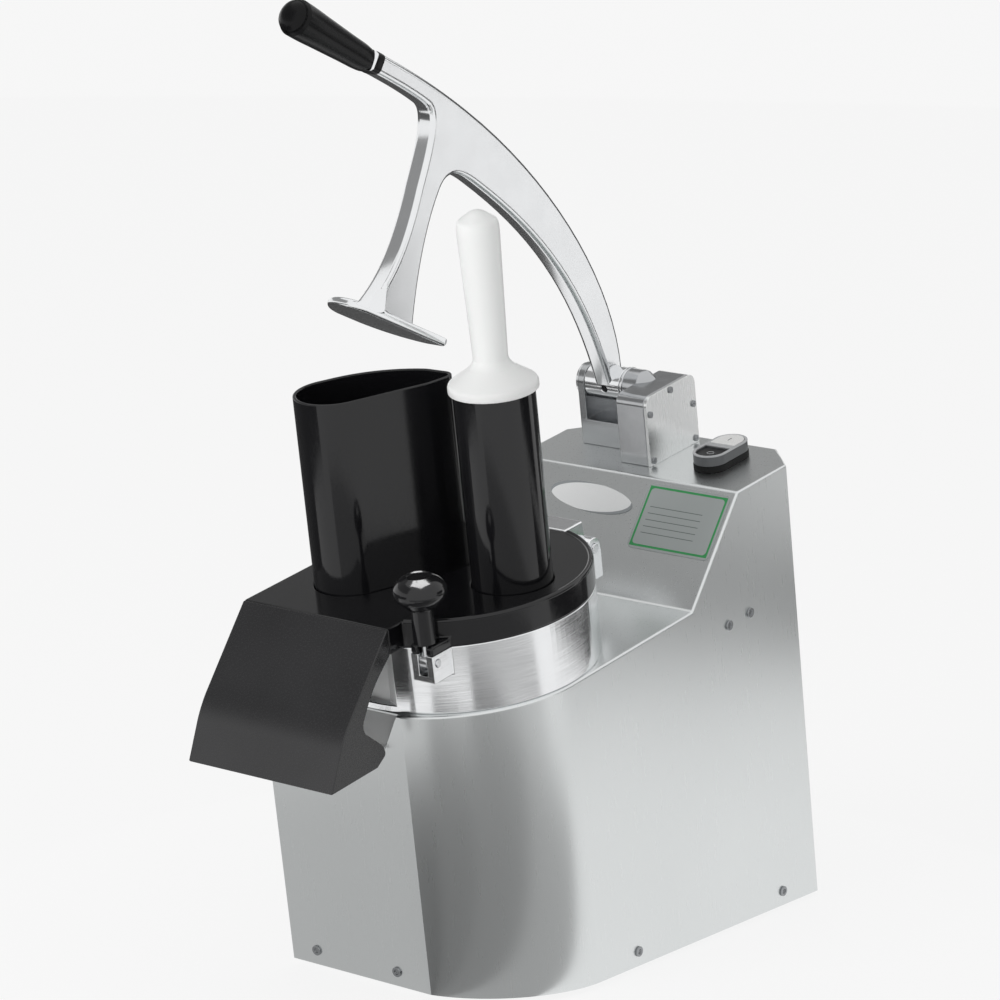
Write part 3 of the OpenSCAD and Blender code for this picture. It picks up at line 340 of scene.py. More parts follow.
def new_finish(name, color, rough, metallic, rough_play, tone_play, mottle, stretch=None,
               grain=900.0, bump=0.0, subsurface=0.0, specular=0.5):
    mat = bpy.data.materials.new(name)
    mat.use_nodes = True
    mat.diffuse_color = (*color, 1)
    tree = mat.node_tree
    links = tree.links
    shader = tree.nodes["Principled BSDF"]
    shader.inputs["Metallic"].default_value = metallic
    shader.inputs["Specular IOR Level"].default_value = specular
    shader.inputs["Subsurface Weight"].default_value = subsurface
    shader.inputs["Subsurface Radius"].default_value = GLOW_RADIUS
    shader.inputs["Subsurface Scale"].default_value = GLOW_DEPTH
    vector = turned_coords(tree)
    clouds = add_group(tree, mottle_group, vector, Scale=mottle)
    play = clouds.outputs["Speck"]
    if stretch:
        play = add_group(tree, grain_group, vector, Stretch=stretch, Scale=grain).outputs["Lines"]
    tone = tree.nodes.new("ShaderNodeMix")
    tone.data_type = "RGBA"
    tone.inputs["A"].default_value = tint(color, 1 - tone_play)
    tone.inputs["B"].default_value = tint(color, 1 + tone_play)
    links.new(clouds.outputs["Cloud"], tone.inputs["Factor"])
    links.new(tone.outputs["Result"], shader.inputs["Base Color"])
    gloss = tree.nodes.new("ShaderNodeMapRange")
    gloss.inputs["To Min"].default_value = max(SMOOTHEST, rough - rough_play)
    gloss.inputs["To Max"].default_value = rough + rough_play
    links.new(play, gloss.inputs["Value"])
    links.new(gloss.outputs["Result"], shader.inputs["Roughness"])
    if bump:
        relief = tree.nodes.new("ShaderNodeBump")
        relief.inputs["Strength"].default_value = bump
        relief.inputs["Distance"].default_value = BUMP_DEPTH
        links.new(play, relief.inputs["Height"])
        links.new(relief.outputs["Normal"], shader.inputs["Normal"])
    return mat


# %% The machine's finishes
UPRIGHT, AROUND = (1.0, 0.7, 0.02), (0.03, 0.03, 1.0)
satin_steel = new_finish(
    "satin sheet steel", (0.70, 0.72, 0.72), 0.28, 1, 0.007, 0.015, 6, UPRIGHT, 1300)
bowl_polish = new_finish(
    "polished bowl aluminium", (0.84, 0.85, 0.86), 0.16, 1, 0.04, 0.02, 20, AROUND, 900, 0.04)
cast_polish = new_finish(
    "polished casting", (0.82, 0.83, 0.84), 0.15, 1, 0.03, 0.03, 30, bump=0.006)
bracket_cast = new_finish("bracket casting", (0.46, 0.47, 0.48), 0.20, 1, 0.05, 0.05, 40, bump=0.03)
mouth_cast = new_finish("matt casting", (0.85, 0.86, 0.86), 0.45, 0.25, 0.05, 0.03, 30, bump=0.02)
rim_grey = new_finish("pale grey moulding", (0.50, 0.51, 0.52), 0.32, 0, 0.04, 0.04, 40)
knob_black = new_finish("knob black", (0.006, 0.006, 0.007), 0.14, 0, 0.03, 0.2, 20)
screw_steel = new_finish("screw steel", (0.30, 0.31, 0.32), 0.26, 1, 0.05, 0.05, 60)
bright_steel = new_finish("bright steel", (0.72, 0.73, 0.74), 0.22, 1, 0.05, 0.03, 40)
brushed_cover = new_finish(
    "brushed cover", (0.80, 0.81, 0.81), 0.27, 1, 0.006, 0.02, 10, UPRIGHT, 1300)
black_moulding = new_finish(
    "gloss black moulding", (0.007, 0.007, 0.008), 0.11, 0, 0.04, 0.2, 10, bump=0.01, specular=0.45)
hood_black = new_finish(
    "hood black moulding", (0.018, 0.018, 0.019), 0.26, 0, 0.05, 0.2, 12, bump=0.01)
grip_black = new_finish(
    "grip black", (0.004, 0.004, 0.0045), 0.27, 0, 0.04, 0.2, 30, bump=0.03, specular=0.16)
black_satin = new_finish(
    "satin black moulding", (0.008, 0.008, 0.009), 0.34, 0, 0.06, 0.2, 30, bump=0.06, specular=0.3)
milky_white = new_finish(
    "milky white moulding", (0.88, 0.89, 0.88), 0.36, 0, 0.05, 0.01, 12, subsurface=0.35)
button_white = new_finish("button white", (0.93, 0.93, 0.92), 0.30, 0, 0.05, 0.02, 60)
grey_moulding = new_finish("grey moulding", (0.11, 0.115, 0.12), 0.38, 0, 0.05, 0.06, 30, bump=0.08)
dull_rubber = new_finish(
    "dull rubber", (0.012, 0.012, 0.012), 0.6, 0, 0.08, 0.15, 40, bump=0.15, specular=0.15)
dark_metal = new_finish(
    "dark painted metal", (0.07, 0.073, 0.078), 0.42, 0.2, 0.08, 0.1, 40, bump=0.05)
bare_label = new_finish("bare label", (0.80, 0.82, 0.80), 0.35, 0, 0.04, 0.01, 20)
slot_finish = {
    "steel": satin_steel, "bowl_alloy": bowl_polish, "cast_alloy": cast_polish,
    "bright_steel": bright_steel, "black_gloss": black_moulding, "black_satin": black_satin,
    "white_plastic": milky_white, "grey_plastic": grey_moulding, "rubber": dull_rubber,
    "dark_metal": dark_metal, "label": bare_label}
slot_of = {row["node"]: row["material_slot"] for row in frame["record"]["subparts"]}
for node_name, obj in nodes.items():
    obj.data.materials.clear()
    obj.data.materials.append(slot_finish[slot_of[node_name]])
print("finishes", len(slot_finish))

# %% [markdown]
# ## The casing
# On the real machine one sheet wraps round the front and sides and another makes the low deck,
# the slope and the rear deck, folded and welded so that every top edge is a small soft bend.
# The flat front panel ends in an upright crease, where the sheet turns into the round nose. A slab
# of the side view gives the form: a slanting cut starts at the crease and its far edge is bevelled
# into the nose. The fold radius is a second bevel, and Solidify gives the sheet its thickness.

# %% Casing prism
HALF_W, DECK, REAR_DECK, SLOPE_FOOT, SLOPE_HEAD = 117, 247, 327, 279, 356
CORNER_CUT, FOLD_R, SHEET = 30, 2.2, 1.5
CREASE_X, NOSE_TURN, NOSE_SLACK, NOSE_STEPS = 30, math.radians(15), 0.3, 48
BELOW = -120
bm = slab([(0, BELOW), (0, DECK), (SLOPE_FOOT, DECK), (SLOPE_HEAD, REAR_DECK),
           (BODY_LEN, REAR_DECK), (BODY_LEN, BELOW)], -HALF_W, HALF_W)


def upright_edges(bm, x_side, u_at):
    return [e for e in bm.edges if all(abs(v.co.y - u_at) < NEAR and v.co.x * x_side > HALF_W - NEAR
                                       for v in e.verts)]


nose_cut = Vector((math.sin(NOSE_TURN), -math.cos(NOSE_TURN), 0))
bmesh.ops.bisect_plane(bm, geom=everything(bm), plane_co=(CREASE_X, 0, 0), plane_no=nose_cut,
                       clear_outer=True)
bmesh.ops.holes_fill(bm, edges=bm.edges[:], sides=0)
bmesh.ops.recalc_face_normals(bm, faces=bm.faces[:])
nose_side = HALF_W - CREASE_X
far_u = nose_side * math.tan(NOSE_TURN)
nose_bevel = nose_side / math.cos(NOSE_TURN) - NOSE_SLACK
soften(bm, upright_edges(bm, 1, far_u), nose_bevel, NOSE_STEPS)
soften(bm, upright_edges(bm, 1, BODY_LEN) + upright_edges(bm, -1, BODY_LEN), CORNER_CUT, 1)
print("casing prism faces", len(bm.faces))

# %% Casing notch and folds
NOTCH_RIGHT, NOTCH_LEFT, NOTCH_DROP, LEFT_SLANT, NOTCH_MARGIN = 26, -107, 32, 8, 5
FACING, FOLD_ANGLE = 0.999, 25
notch_cuts = (((NOTCH_RIGHT, 0, DECK), (NOTCH_DROP, 0, -NOTCH_DROP / 2)),
              ((NOTCH_LEFT, 0, DECK), (-NOTCH_DROP, 0, -LEFT_SLANT)),
              ((0, 0, DECK - NOTCH_DROP), (0, 0, 1)))
front = [f for f in bm.faces if f.normal.y < -FACING]
for point, normal in notch_cuts:
    around = {g for f in front for g in (f, *f.edges, *f.verts)}
    bmesh.ops.bisect_plane(bm, geom=list(around), plane_co=point, plane_no=normal)
    front = [f for f in bm.faces if f.normal.y < -FACING]
open_front = [f for f in front if DECK - NOTCH_DROP < f.calc_center_median().z < DECK
              and NOTCH_LEFT < f.calc_center_median().x < NOTCH_RIGHT - NOTCH_MARGIN]
bmesh.ops.delete(bm, geom=open_front, context="FACES_ONLY")
folds = [e for e in sharp_edges(bm, FOLD_ANGLE) if min(v.co.z for v in e.verts) > DECK - 1]
soften(bm, folds, FOLD_R, 4)
print("folded edges", len(folds))

# %% Casing sheet
level = leaning.inverted() @ Vector((0, 0, shell_low.z))
upward = (leaning.inverted().to_3x3() @ Vector((0, 0, 1))).normalized()
bmesh.ops.bisect_plane(bm, geom=everything(bm), plane_co=level, plane_no=upward, clear_inner=True)
rear = [f for f in bm.faces if f.normal.y > FACING]
bmesh.ops.delete(bm, geom=rear, context="FACES")
casing = make_piece("casing_sheet", bm, leaning, satin_steel, "machine",
                    ("body_shell", "deck_cover"))
for edge in casing.data.edges:
    ends = [leaning.inverted() @ casing.data.vertices[i].co for i in edge.vertices]
    if all(abs(p.x - CREASE_X) < 2 * NEAR and abs(p.y) < 2 * NEAR for p in ends):
        edge.use_edge_sharp = True
wall_modifier(casing, SHEET)
print("casing", len(casing.data.polygons))

# %% [markdown]
# ## Dressed solids
# The cast, moulded and sheet pieces already have their shape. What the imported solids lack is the
# soft edge that catches light: wide on castings, small on sheet and screws.

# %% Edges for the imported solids
RIDES = {"swing_bolt": "latch", "cutting_disc": "disc_drive"}
ROUNDED = {
    "bowl": (0.8, bowl_polish), "lid": (1.6, black_moulding),
    "half_moon_hopper": (0.9, black_moulding), "round_hopper": (0.9, black_moulding),
    "lever_bracket": (0.7, bracket_cast), "bracket_cover": (0.4, brushed_cover),
    "lid_hinge_block": (1.6, cast_polish), "casing_screws": (0.6, screw_steel),
    "cover_screws": (0.3, screw_steel), "lid_hinge_pin": (0.8, bright_steel),
    "latch_pin": (0.4, bright_steel), "pin_cap": (1.0, black_satin),
    "swing_bolt": (0.5, bright_steel), "cable_gland": (0.6, black_satin),
    "cutting_disc": (0.5, cast_polish), "rear_panel": (0.3, satin_steel),
    "switch_gasket": (0.8, dull_rubber), "feet": (1.5, dull_rubber),
}
dressed = {}
for node_name, (width, finish) in ROUNDED.items():
    body = RIDES.get(node_name, "machine")
    dressed[node_name] = dress(node_name, width, finish, body)
print("dressed", len(dressed))

# %% [markdown]
# ## The discharge mouth
# The cut food leaves through a mouth in the bowl. Its cheek is left as cast, so it is matt while
# the turned wall beside it is polished. Below it a sheet ramp leads the food over the casing's
# edge. The ramp follows the notch's slanting side, so it is four corners and a lip, thickened.

# %% Mouth cheek and ramp
CHEEK_NORMAL, CHEEK_WITHIN = Vector((-0.43, -0.90, 0)), 0.99
bowl = dressed["bowl"].data
bowl.materials.append(mouth_cast)
cheek_facing = (leaning.to_3x3() @ CHEEK_NORMAL).normalized()
for face in bowl.polygons:
    if face.normal.dot(cheek_facing) > CHEEK_WITHIN:
        face.material_index = 1
RAMP_LEFT, RAMP_BACK, RAMP_LIP, RAMP_T, RAMP_SINK, LIP_RISE, LIP_R = -98, 14, 7, 1.2, 0.2, 1.7, 4
notch_foot, foot_right = DECK - NOTCH_DROP, NOTCH_RIGHT - NOTCH_DROP / 2
ramp_rows = [(RAMP_BACK, DECK - RAMP_SINK, NOTCH_RIGHT), (0, notch_foot + LIP_RISE, foot_right),
             (-RAMP_LIP, notch_foot, foot_right)]
bm = bmesh.new()
rows = [[bm.verts.new((x, u, v)) for x in (RAMP_LEFT, end)] for u, v, end in ramp_rows]
for (a, b), (c, d) in zip(rows, rows[1:]):
    bm.faces.new((a, b, d, c))
fold = [e for e in bm.edges if not e.is_boundary]
soften(bm, fold, LIP_R, 4)
bmesh.ops.recalc_face_normals(bm, faces=bm.faces[:])
ramp = make_piece("ramp_sheet", bm, leaning, mouth_cast, "machine",
                  ("discharge_ramp",))
wall_modifier(ramp, RAMP_T)
print("ramp faces", len(ramp.data.polygons))

# %% Mouth baffle
NOSE_U, LID_FOOT = 117, 303
BAFFLE_R, BAFFLE_T, BAFFLE_LIFT, BAFFLE_START, BAFFLE_SWEEP = 107.3, 1.6, 6, math.radians(-5), 12
on_nose = leaning @ Matrix.Translation((0, NOSE_U, 0))
bm = bmesh.new()
foot, head = (bm.verts.new((0, -BAFFLE_R, v)) for v in (DECK + BAFFLE_LIFT, LID_FOOT))
bm.edges.new((foot, head))
spin_round(moved(bm, Matrix.Rotation(BAFFLE_START, 4, "Z")), BAFFLE_SWEEP, 12)
bm.normal_update()
bmesh.ops.reverse_faces(bm, faces=[f for f in bm.faces if f.normal.y < 0])
baffle = make_piece("mouth_baffle", bm, on_nose, mouth_cast, "machine")
wall_modifier(baffle, BAFFLE_T)
print("baffle faces", len(baffle.data.polygons))

# %% [markdown]
# ## The discharge hood
# The hood is one thin moulding: a sloping roof that folds down into a lip, with a cheek on either
# side. A slab of the cheek's outline gives roof and cheeks in one piece. Each corner that is soft
# on the real hood is bevelled across the slab, the open underside is deleted, and Solidify and a
# small Bevel turn the skin into a wall with blunt rims.

# %% Hood shell
LID_TOP, BOWL_R, HOOD_RIGHT, HOOD_WALL, HOOD_RIM = 326, 115, 35, 3, 0.8
CHEEK_SIDE, ROOF_FRONT = 0.5, 0.2
hood_side = [(-10, 326, 0), (-75, 259, 12), (-96, 219, 0), (-39, 219, 0), (-27, 226, 3),
             (-29, 234, 3), (-53, 256, 8), (-35, 284, 12), (-10, 304, 0)]
bm = slab([(u, v) for u, v, _ in hood_side], -BOWL_R, HOOD_RIGHT)
for u, v, soft in hood_side:
    if soft:
        soften(bm, edges_at(bm, u, v), soft, 7)
open_side = [f for f in bm.faces if abs(f.normal.x) < CHEEK_SIDE
             and not (f.normal.y < -ROOF_FRONT and f.normal.z > 0)]
bmesh.ops.delete(bm, geom=open_side, context="FACES")
hood = make_piece("chute_hood_shell", bm, leaning, hood_black, "machine",
                  ("chute_hood",))
wall_modifier(hood, HOOD_WALL)
round_edges(hood, HOOD_RIM)
print("hood faces", len(hood.data.polygons))

# %% [markdown]
# ## The lid's bead
# A raised bead runs round the lid's top edge and stops at the hinge. It is a small circle swept
# along two arcs, which is what spin does when it isn't given a full turn.

# %% Lid bead
BEAD_R, BEAD_SINK = 2.4, 0.6
bead_at = Matrix.Translation((BOWL_R - BEAD_R, 0, LID_TOP - BEAD_SINK))
for side, start, sweep in (("right", -71.5, 141.5), ("left", 110, 70)):
    bm = bmesh.new()
    upright = bead_at @ Matrix.Rotation(math.pi / 2, 4, "X")
    bmesh.ops.create_circle(bm, segments=14, radius=BEAD_R, matrix=upright)
    spin_round(moved(bm, Matrix.Rotation(math.radians(start), 4, "Z")), sweep, 64)
    bmesh.ops.holes_fill(bm, edges=bm.edges[:], sides=0)
    bmesh.ops.recalc_face_normals(bm, faces=bm.faces[:])
    make_piece("lid_bead_" + side, bm, on_nose, black_moulding, "machine")
print("bead arcs", 2)

# %% [markdown]
# ## The lever
# The arm is a polished casting: a flat blade with blunt edges that sweeps from the hub to the
# grip, with a stem that flares out to carry the press plate. Its outline is a chain of Bezier
# curves. The blade is a slab of that outline with all its edges bevelled, joined to a turned hub.
# The hub's bore and the hole of its grub screw are carved out. The stem's foot is cut back to the
# plate's plan, widening upwards, so that it enters the hopper too. So the plan is drawn first.

# %% Lever outline
ARM_T, ARM_BEVEL, CURVE_POINTS, SAME_POINT = 18, 4.6, 18, 0.5
arm_curves = [
    [(5, 14), (60, 75), (190, 113), (332, 113)],
    [(332, 113), (372, 113), (412, 111), (467, 104)],
    [(465, 87), (427, 92), (400, 94), (384, 94)],
    [(384, 94), (367, 94), (362.5, 68), (358.5, 34)],
    [(358.5, 34), (352.5, 0), (349, -38), (370, -74)],
    [(304, -74), (321.5, -35), (332.5, 5), (331.5, 40)],
    [(331.5, 40), (331.5, 60), (317.5, 65), (289.5, 65)],
    [(289.5, 65), (170, 66), (92, 45), (13, -7.5)]]
arm_outline = []
for corners in arm_curves:
    points = interpolate_bezier(*[Vector((0, -a, b)) for a, b in corners], CURVE_POINTS)
    if arm_outline and (points[0].yz - Vector(arm_outline[-1])).length < SAME_POINT:
        points = points[1:]
    arm_outline += [tuple(p.yz) for p in points]
print("outline points", len(arm_outline))

# %% Plan of the press plate
REACH, PLATE_T, PLATE_DROP, PLATE_U, SQUEEZE = 332, 7, 77, 86, 0.85
ARC_X, ARC_U, ARC_R, ARC_POST_R = 5, 45, 75, 12
posts = [(-57.5, 62.5, 23.5), (-5, 125, 4)]
for degrees in range(108, 157, 4):
    a = math.radians(degrees)
    posts.append((ARC_X + ARC_R * math.cos(a), ARC_U + ARC_R * math.sin(a), ARC_POST_R))


def plate_hull(low, high, flare=0):
    bm = bmesh.new()
    for x, u, r in posts:
        at = Matrix.Translation((x, u - PLATE_U, (low + high) / 2))
        bmesh.ops.create_cone(bm, cap_ends=True, segments=64, radius1=r, radius2=r + flare,
                              depth=high - low, matrix=at)
    hull = bmesh.ops.convex_hull(bm, input=bm.verts[:], use_existing_faces=False)
    spare = {g for g in hull["geom_interior"] + hull["geom_unused"]
             if isinstance(g, bmesh.types.BMVert)}
    bmesh.ops.delete(bm, geom=list(spare), context="VERTS")
    bmesh.ops.dissolve_limit(bm, angle_limit=FLAT_WITHIN, verts=bm.verts[:], edges=bm.edges[:])
    bmesh.ops.recalc_face_normals(bm, faces=bm.faces[:])
    bmesh.ops.scale(bm, vec=(1, SQUEEZE, 1), verts=bm.verts[:])
    bmesh.ops.translate(bm, vec=(0, -REACH, -PLATE_DROP), verts=bm.verts[:])
    return bm


print("plate posts", len(posts))

# %% Lever blade and hub
HUB_LEFT, HUB_RIGHT, HUB_R, HUB_BEVEL, HUB_MID = -72.5, -35.5, 15, 0.8, -53
PIN_R, PIN_PLAY, OVER, ARM_TOE = 8, 0.05, 5, math.radians(2.5)
toed = Matrix.Translation((HUB_MID, 0, 0)) @ Matrix.Rotation(ARM_TOE, 4, "Z")


def arm_blade():
    bm = slab(arm_outline, -ARM_T / 2, ARM_T / 2)
    rims = [e for e in bm.edges if abs(e.verts[0].co.x - e.verts[1].co.x) < NEAR]
    soften(bm, rims, ARM_BEVEL, 5)
    return moved(bm, toed)


on_pin = Matrix.Translation((HUB_LEFT, 0, 0)) @ Z_TO_X
hub_len = HUB_RIGHT - HUB_LEFT
hub = turn([(0, 0, 0), (HUB_R, 0, HUB_BEVEL), (HUB_R, hub_len, HUB_BEVEL), (0, hub_len, 0)],
           HUB_STEPS)
lever = carve(arm_blade(), moved(hub, on_pin), "UNION")
bore_r, bore_end = PIN_R + PIN_PLAY, hub_len + OVER
bore = turn([(0, -OVER, 0), (bore_r, -OVER, 0), (bore_r, bore_end, 0), (0, bore_end, 0)],
            HUB_STEPS)
print("hub length", hub_len)

# %% Foot and bore
FOOT_FLARE, FOOT_LEAN, WASTE_HALF, WASTE_LEFT, WASTE_RIGHT, WASTE_DIP = 45, 11, 90, -140, 80, 9
waste_low, waste_high = PLATE_T - PLATE_DROP - WASTE_DIP, FOOT_FLARE - PLATE_DROP
foot_waste = slab([(-REACH - WASTE_HALF, waste_low), (-REACH + WASTE_HALF, waste_low),
                   (-REACH + WASTE_HALF, waste_high), (-REACH - WASTE_HALF, waste_high)],
                  WASTE_LEFT, WASTE_RIGHT)
lever = carve(lever, carve(foot_waste, plate_hull(0, FOOT_FLARE + OVER, FOOT_LEAN)))
lever = carve(lever, moved(bore, on_pin))
print("lever faces", len(lever.faces))

# %% Grub screw's hole
HOLE_X, HOLE_TURN = HUB_MID + 1.5, math.radians(95)
HOLE_R, HOLE_FLOOR, MOUTH_R, MOUTH_END = 3.2, 9, 4.4, HUB_R + 1
hole = turn([(0, HOLE_FLOOR, 0), (HOLE_R, HOLE_FLOOR, 0), (HOLE_R, HUB_R - HUB_BEVEL, 0),
             (MOUTH_R, MOUTH_END, 0), (0, MOUTH_END, 0)], SCREW_STEPS)
hole_turn = Matrix.Translation((HOLE_X, 0, 0)) @ Matrix.Rotation(HOLE_TURN + LEVER_RAISE, 4, "X")
lever = carve(lever, moved(hole, hole_turn))
grub = turn([(0, 9.5, 0), (1.5, 9.5, 0), (1.5, 11.5, 0), (3.1, 11.5, 0.3), (3.1, HOLE_FLOOR, 0),
             (0, HOLE_FLOOR, 0)], SCREW_STEPS)
make_piece("hub_grub", grub, lever_pose @ hole_turn, black_satin, "lever",
           ("hub_screw",))
make_piece("lever_arm_cast", lever, lever_pose, cast_polish, "lever", ("lever_arm",))
print("lever made")

# %% [markdown]
# ## The press plate
# The plate is a flat casting with a blunt rim that fits the half-moon hopper. The hopper's plan
# is the hull of a few round posts, so the plate is too: short cylinders in a convex hull, squeezed
# to let the plate swing in, with the rim bevelled into a half round.

# %% Press plate
RIM_BEVEL = 2.7
bm = plate_hull(0, PLATE_T)
soften(bm, sharp_edges(bm), RIM_BEVEL, 5)
plate = make_piece("press_plate_cast", bm, lever_pose, cast_polish, "lever",
                   ("press_plate", "plate_screws"))
print("plate faces", len(plate.data.polygons))

# %% [markdown]
# ## Rings on the hinge
# Two bright rings break up the hinge: a shoulder where the lever's hub meets the bracket's boss,
# and a washer behind the dark cap on the pin's far end. Both are turned rings.

# %% Hinge rings
INNER_R, OUTER_R = 0.2, 0.5


def along_hinge(x_at):
    return on_hinge @ Matrix.Translation((x_at, 0, 0)) @ Z_TO_X


for name, x_at, inner, outer, wide in (("boss_shoulder", -34.6, 14.6, 15.7, 2.4),
                                       ("cap_washer", -82.2, 8.2, 14.2, 2.2)):
    ring = turn([(inner, 0, INNER_R), (outer, 0, OUTER_R), (outer, wide, OUTER_R),
                 (inner, wide, INNER_R)], HUB_STEPS, ring=True)
    make_piece(name, ring, along_hinge(x_at), bright_steel, "machine")
print("rings", 2)

# %% [markdown]
# ## The bracket's casting
# Seen closely, the bracket's boss runs out into the top of its block in a soft nose, and a low web
# joins the ear to the block behind the hub. Both are small additions to the dressed bracket.

# %% Boss nose and web
EAR_INNER, BLOCK_LEFT, BAR_TOP, WEB_BEVEL, SUNK = -73, -19, REAR_DECK + 23, 0.6, 1
boss_r = HUB_R - 0.1
nose_profile = [(0, -1, 0), (boss_r, -1, 0), (boss_r, 1, 1), (7, 13, 5), (0, 14, 0)]
make_piece("boss_nose", turn(nose_profile, HUB_STEPS), along_hinge(BLOCK_LEFT), bracket_cast,
           "machine")
web_low, web_high = BAR_TOP - SUNK, HINGE_V - 11
web_front, web_lip, web_back = HINGE_U + 10, HINGE_U + 12, HINGE_U + HUB_R
web = slab([(web_front, web_low), (web_back, web_low), (web_back, web_high), (web_lip, web_high)],
           EAR_INNER - SUNK, BLOCK_LEFT + SUNK)
soften(web, sharp_edges(web), WEB_BEVEL, 3)
make_piece("bracket_web", web, leaning, bracket_cast, "machine")
print("bracket additions", 2)

# %% [markdown]
# ## Turned pieces
# The white pusher, the latch knob and the lever's grip are all bodies of revolution. Their
# profiles are a handful of corners, each with its own rounding, spun once round the axis. A dark
# band is painted round the arm just short of the grip as a painted reflection: it stands for the
# grip's dark image in the polished neck, and it is a slice of the same blade, grown a little.

# %% Hand pusher
ROUND_X, HOPPER_TOP, DISC_TOP = 62, 488, 318
rim, pusher_foot = HOPPER_TOP + 0.1, DISC_TOP + 6
pusher_profile = [(0, pusher_foot, 0), (29.5, pusher_foot, 2), (29.5, rim, 0), (36.5, rim, 1.2),
                  (36.5, rim + 7, 2.5), (15.5, rim + 21, 5), (14.0, rim + 27, 3),
                  (17.2, rim + 133, 4), (16.2, rim + 139, 2), (5, rim + 147, 3), (0, rim + 148, 0)]
on_round = leaning @ Matrix.Translation((ROUND_X, NOSE_U, 0))
make_piece("hand_pusher_turned", turn(pusher_profile), on_round, milky_white, "pusher",
           ("hand_pusher",))
print("pusher profile", len(pusher_profile))

# %% Latch knob
LATCH_X, LATCH_U, SLEEVE_FOOT = 58, 6.95, 312.3
knob_profile = [(3.6, 0, 0), (9, 0, 0.8), (9, 30, 1.5), (13, 31.5, 2), (20.5, 39, 2.5),
                (22, 44.5, 3), (19, 52.5, 5), (10, 57.6, 1.2), (8.6, 56.2, 0.8), (0, 56.0, 0)]
on_latch = leaning @ Matrix.Translation((LATCH_X, LATCH_U, SLEEVE_FOOT))
knob = make_piece("latch_knob_turned", turn(knob_profile), on_latch, knob_black, "knob",
                  ("latch_knob",))
print("knob profile", len(knob_profile))

# %% Lever grip
NECK_A, GRIP_B, GRIP_SINK, GRIP_DIP = 467, 95, 1, math.radians(95)
grip_profile = [(0, 2, 0), (10.2, 2, 1), (11.2, 10, 4), (12.6, 48, 20), (15, 86, 14), (15, 97, 5),
                (11.5, 104.5, 5), (0, 107, 0)]
neck = lever_pose @ toed @ Matrix.Translation((0, GRIP_SINK - NECK_A, GRIP_B))
grip_axis = neck @ Matrix.Rotation(GRIP_DIP, 4, "X")
make_piece("lever_grip_turned", turn(grip_profile), grip_axis, grip_black, "lever",
           ("lever_grip",))
print("grip profile", len(grip_profile))

# %% Grip band, a painted reflection
BAND_FROM, BAND_TO, BAND_LOW, BAND_HIGH = 4 - NECK_A, 12 - NECK_A, 60, 140
BAND_HALF, BAND_GROWN = 20, 0.3
band_block = slab([(BAND_FROM, BAND_LOW), (BAND_TO, BAND_LOW), (BAND_TO, BAND_HIGH),
                   (BAND_FROM, BAND_HIGH)], -BAND_HALF, BAND_HALF)
band = carve(arm_blade(), moved(band_block, toed), "INTERSECT")
band.normal_update()
for v in band.verts:
    v.co += v.normal * BAND_GROWN
# painted reflection: this dark band stands for the grip's reflection in the polished neck
make_piece("grip_reflection_band", band, lever_pose, grip_black, "lever")
print("band made")

# %% [markdown]
# ## The switch
# A dark moulded body stands on a black gasket and carries a pale top plate with two openings, each
# straight at the middle bar and round at the end. The white start button stands just proud, the
# black stop button lies deep. All of them are prisms of the same two plans: the long oval and the
# round-ended opening. Each button has the plain mark for on or off as a shallow raised line.

# %% Switch plans
SWITCH_X, SWITCH_U, GASKET_H, WELL_FLOOR, SWITCH_TOP = 62, 411, 6, 9, 15
BODY_R, PLATE_R, WELL_R, BUTTON_R, END_MID = 15, 15.2, 12.7, 12.3, 14.5
BAR_HALF, BUTTON_GAP = 3, 0.4
seam, plate_top, button_foot = SWITCH_TOP - 0.8, SWITCH_TOP + 0.4, WELL_FLOOR + 2.2
START_TOP, STOP_TOP, MARK_SINK = SWITCH_TOP + 0.9, SWITCH_TOP - 1.6, 0.05
SWITCH_EDGE, BUTTON_EDGE = 0.35, 0.5
on_switch = leaning @ Matrix.Translation((SWITCH_X, SWITCH_U, REAR_DECK))


def long_oval(radius, steps=64):
    turns = [math.tau * (i + 0.5) / steps for i in range(steps)]
    return [(radius * math.cos(a), radius * math.sin(a) + math.copysign(END_MID, math.sin(a)))
            for a in turns]


def round_end(radius, bar_half, side, steps=32):
    turns = [math.pi * i / steps for i in range(steps + 1)]
    arc = [(radius * math.cos(a), END_MID + radius * math.sin(a)) for a in turns]
    return [(x, side * y) for x, y in [(radius, bar_half), *arc, (-radius, bar_half)]]


def prism(plan, low, high):
    bm = bmesh.new()
    face = bm.faces.new([bm.verts.new((x, y, low)) for x, y in plan])
    return pull(bm, [face], (0, 0, high - low))


print("switch top", SWITCH_TOP)

# %% Switch body and top plate
for name, radius, low, high, finish, node in (
        ("switch_body", BODY_R, GASKET_H, seam, grey_moulding, ("switch_housing",)),
        ("switch_top_plate", PLATE_R, seam, plate_top, rim_grey, ())):
    body = prism(long_oval(radius), low, high)
    for side in (1, -1):
        well = prism(round_end(WELL_R, BAR_HALF, side), WELL_FLOOR, SWITCH_TOP + OVER)
        body = carve(body, well)
    obj = make_piece(name, body, on_switch, finish, "machine", node)
    round_edges(obj, SWITCH_EDGE)
print("switch body made")

# %% Switch buttons
for name, side, top, finish in (("start", 1, START_TOP, button_white),
                                ("stop", -1, STOP_TOP, black_satin)):
    button = prism(round_end(BUTTON_R, BAR_HALF + BUTTON_GAP, side), button_foot, top)
    node_name = name + "_button"
    obj = make_piece(node_name + "_cap", button, on_switch, finish, name,
                     (node_name,))
    round_edges(obj, BUTTON_EDGE)
print("buttons", 2)

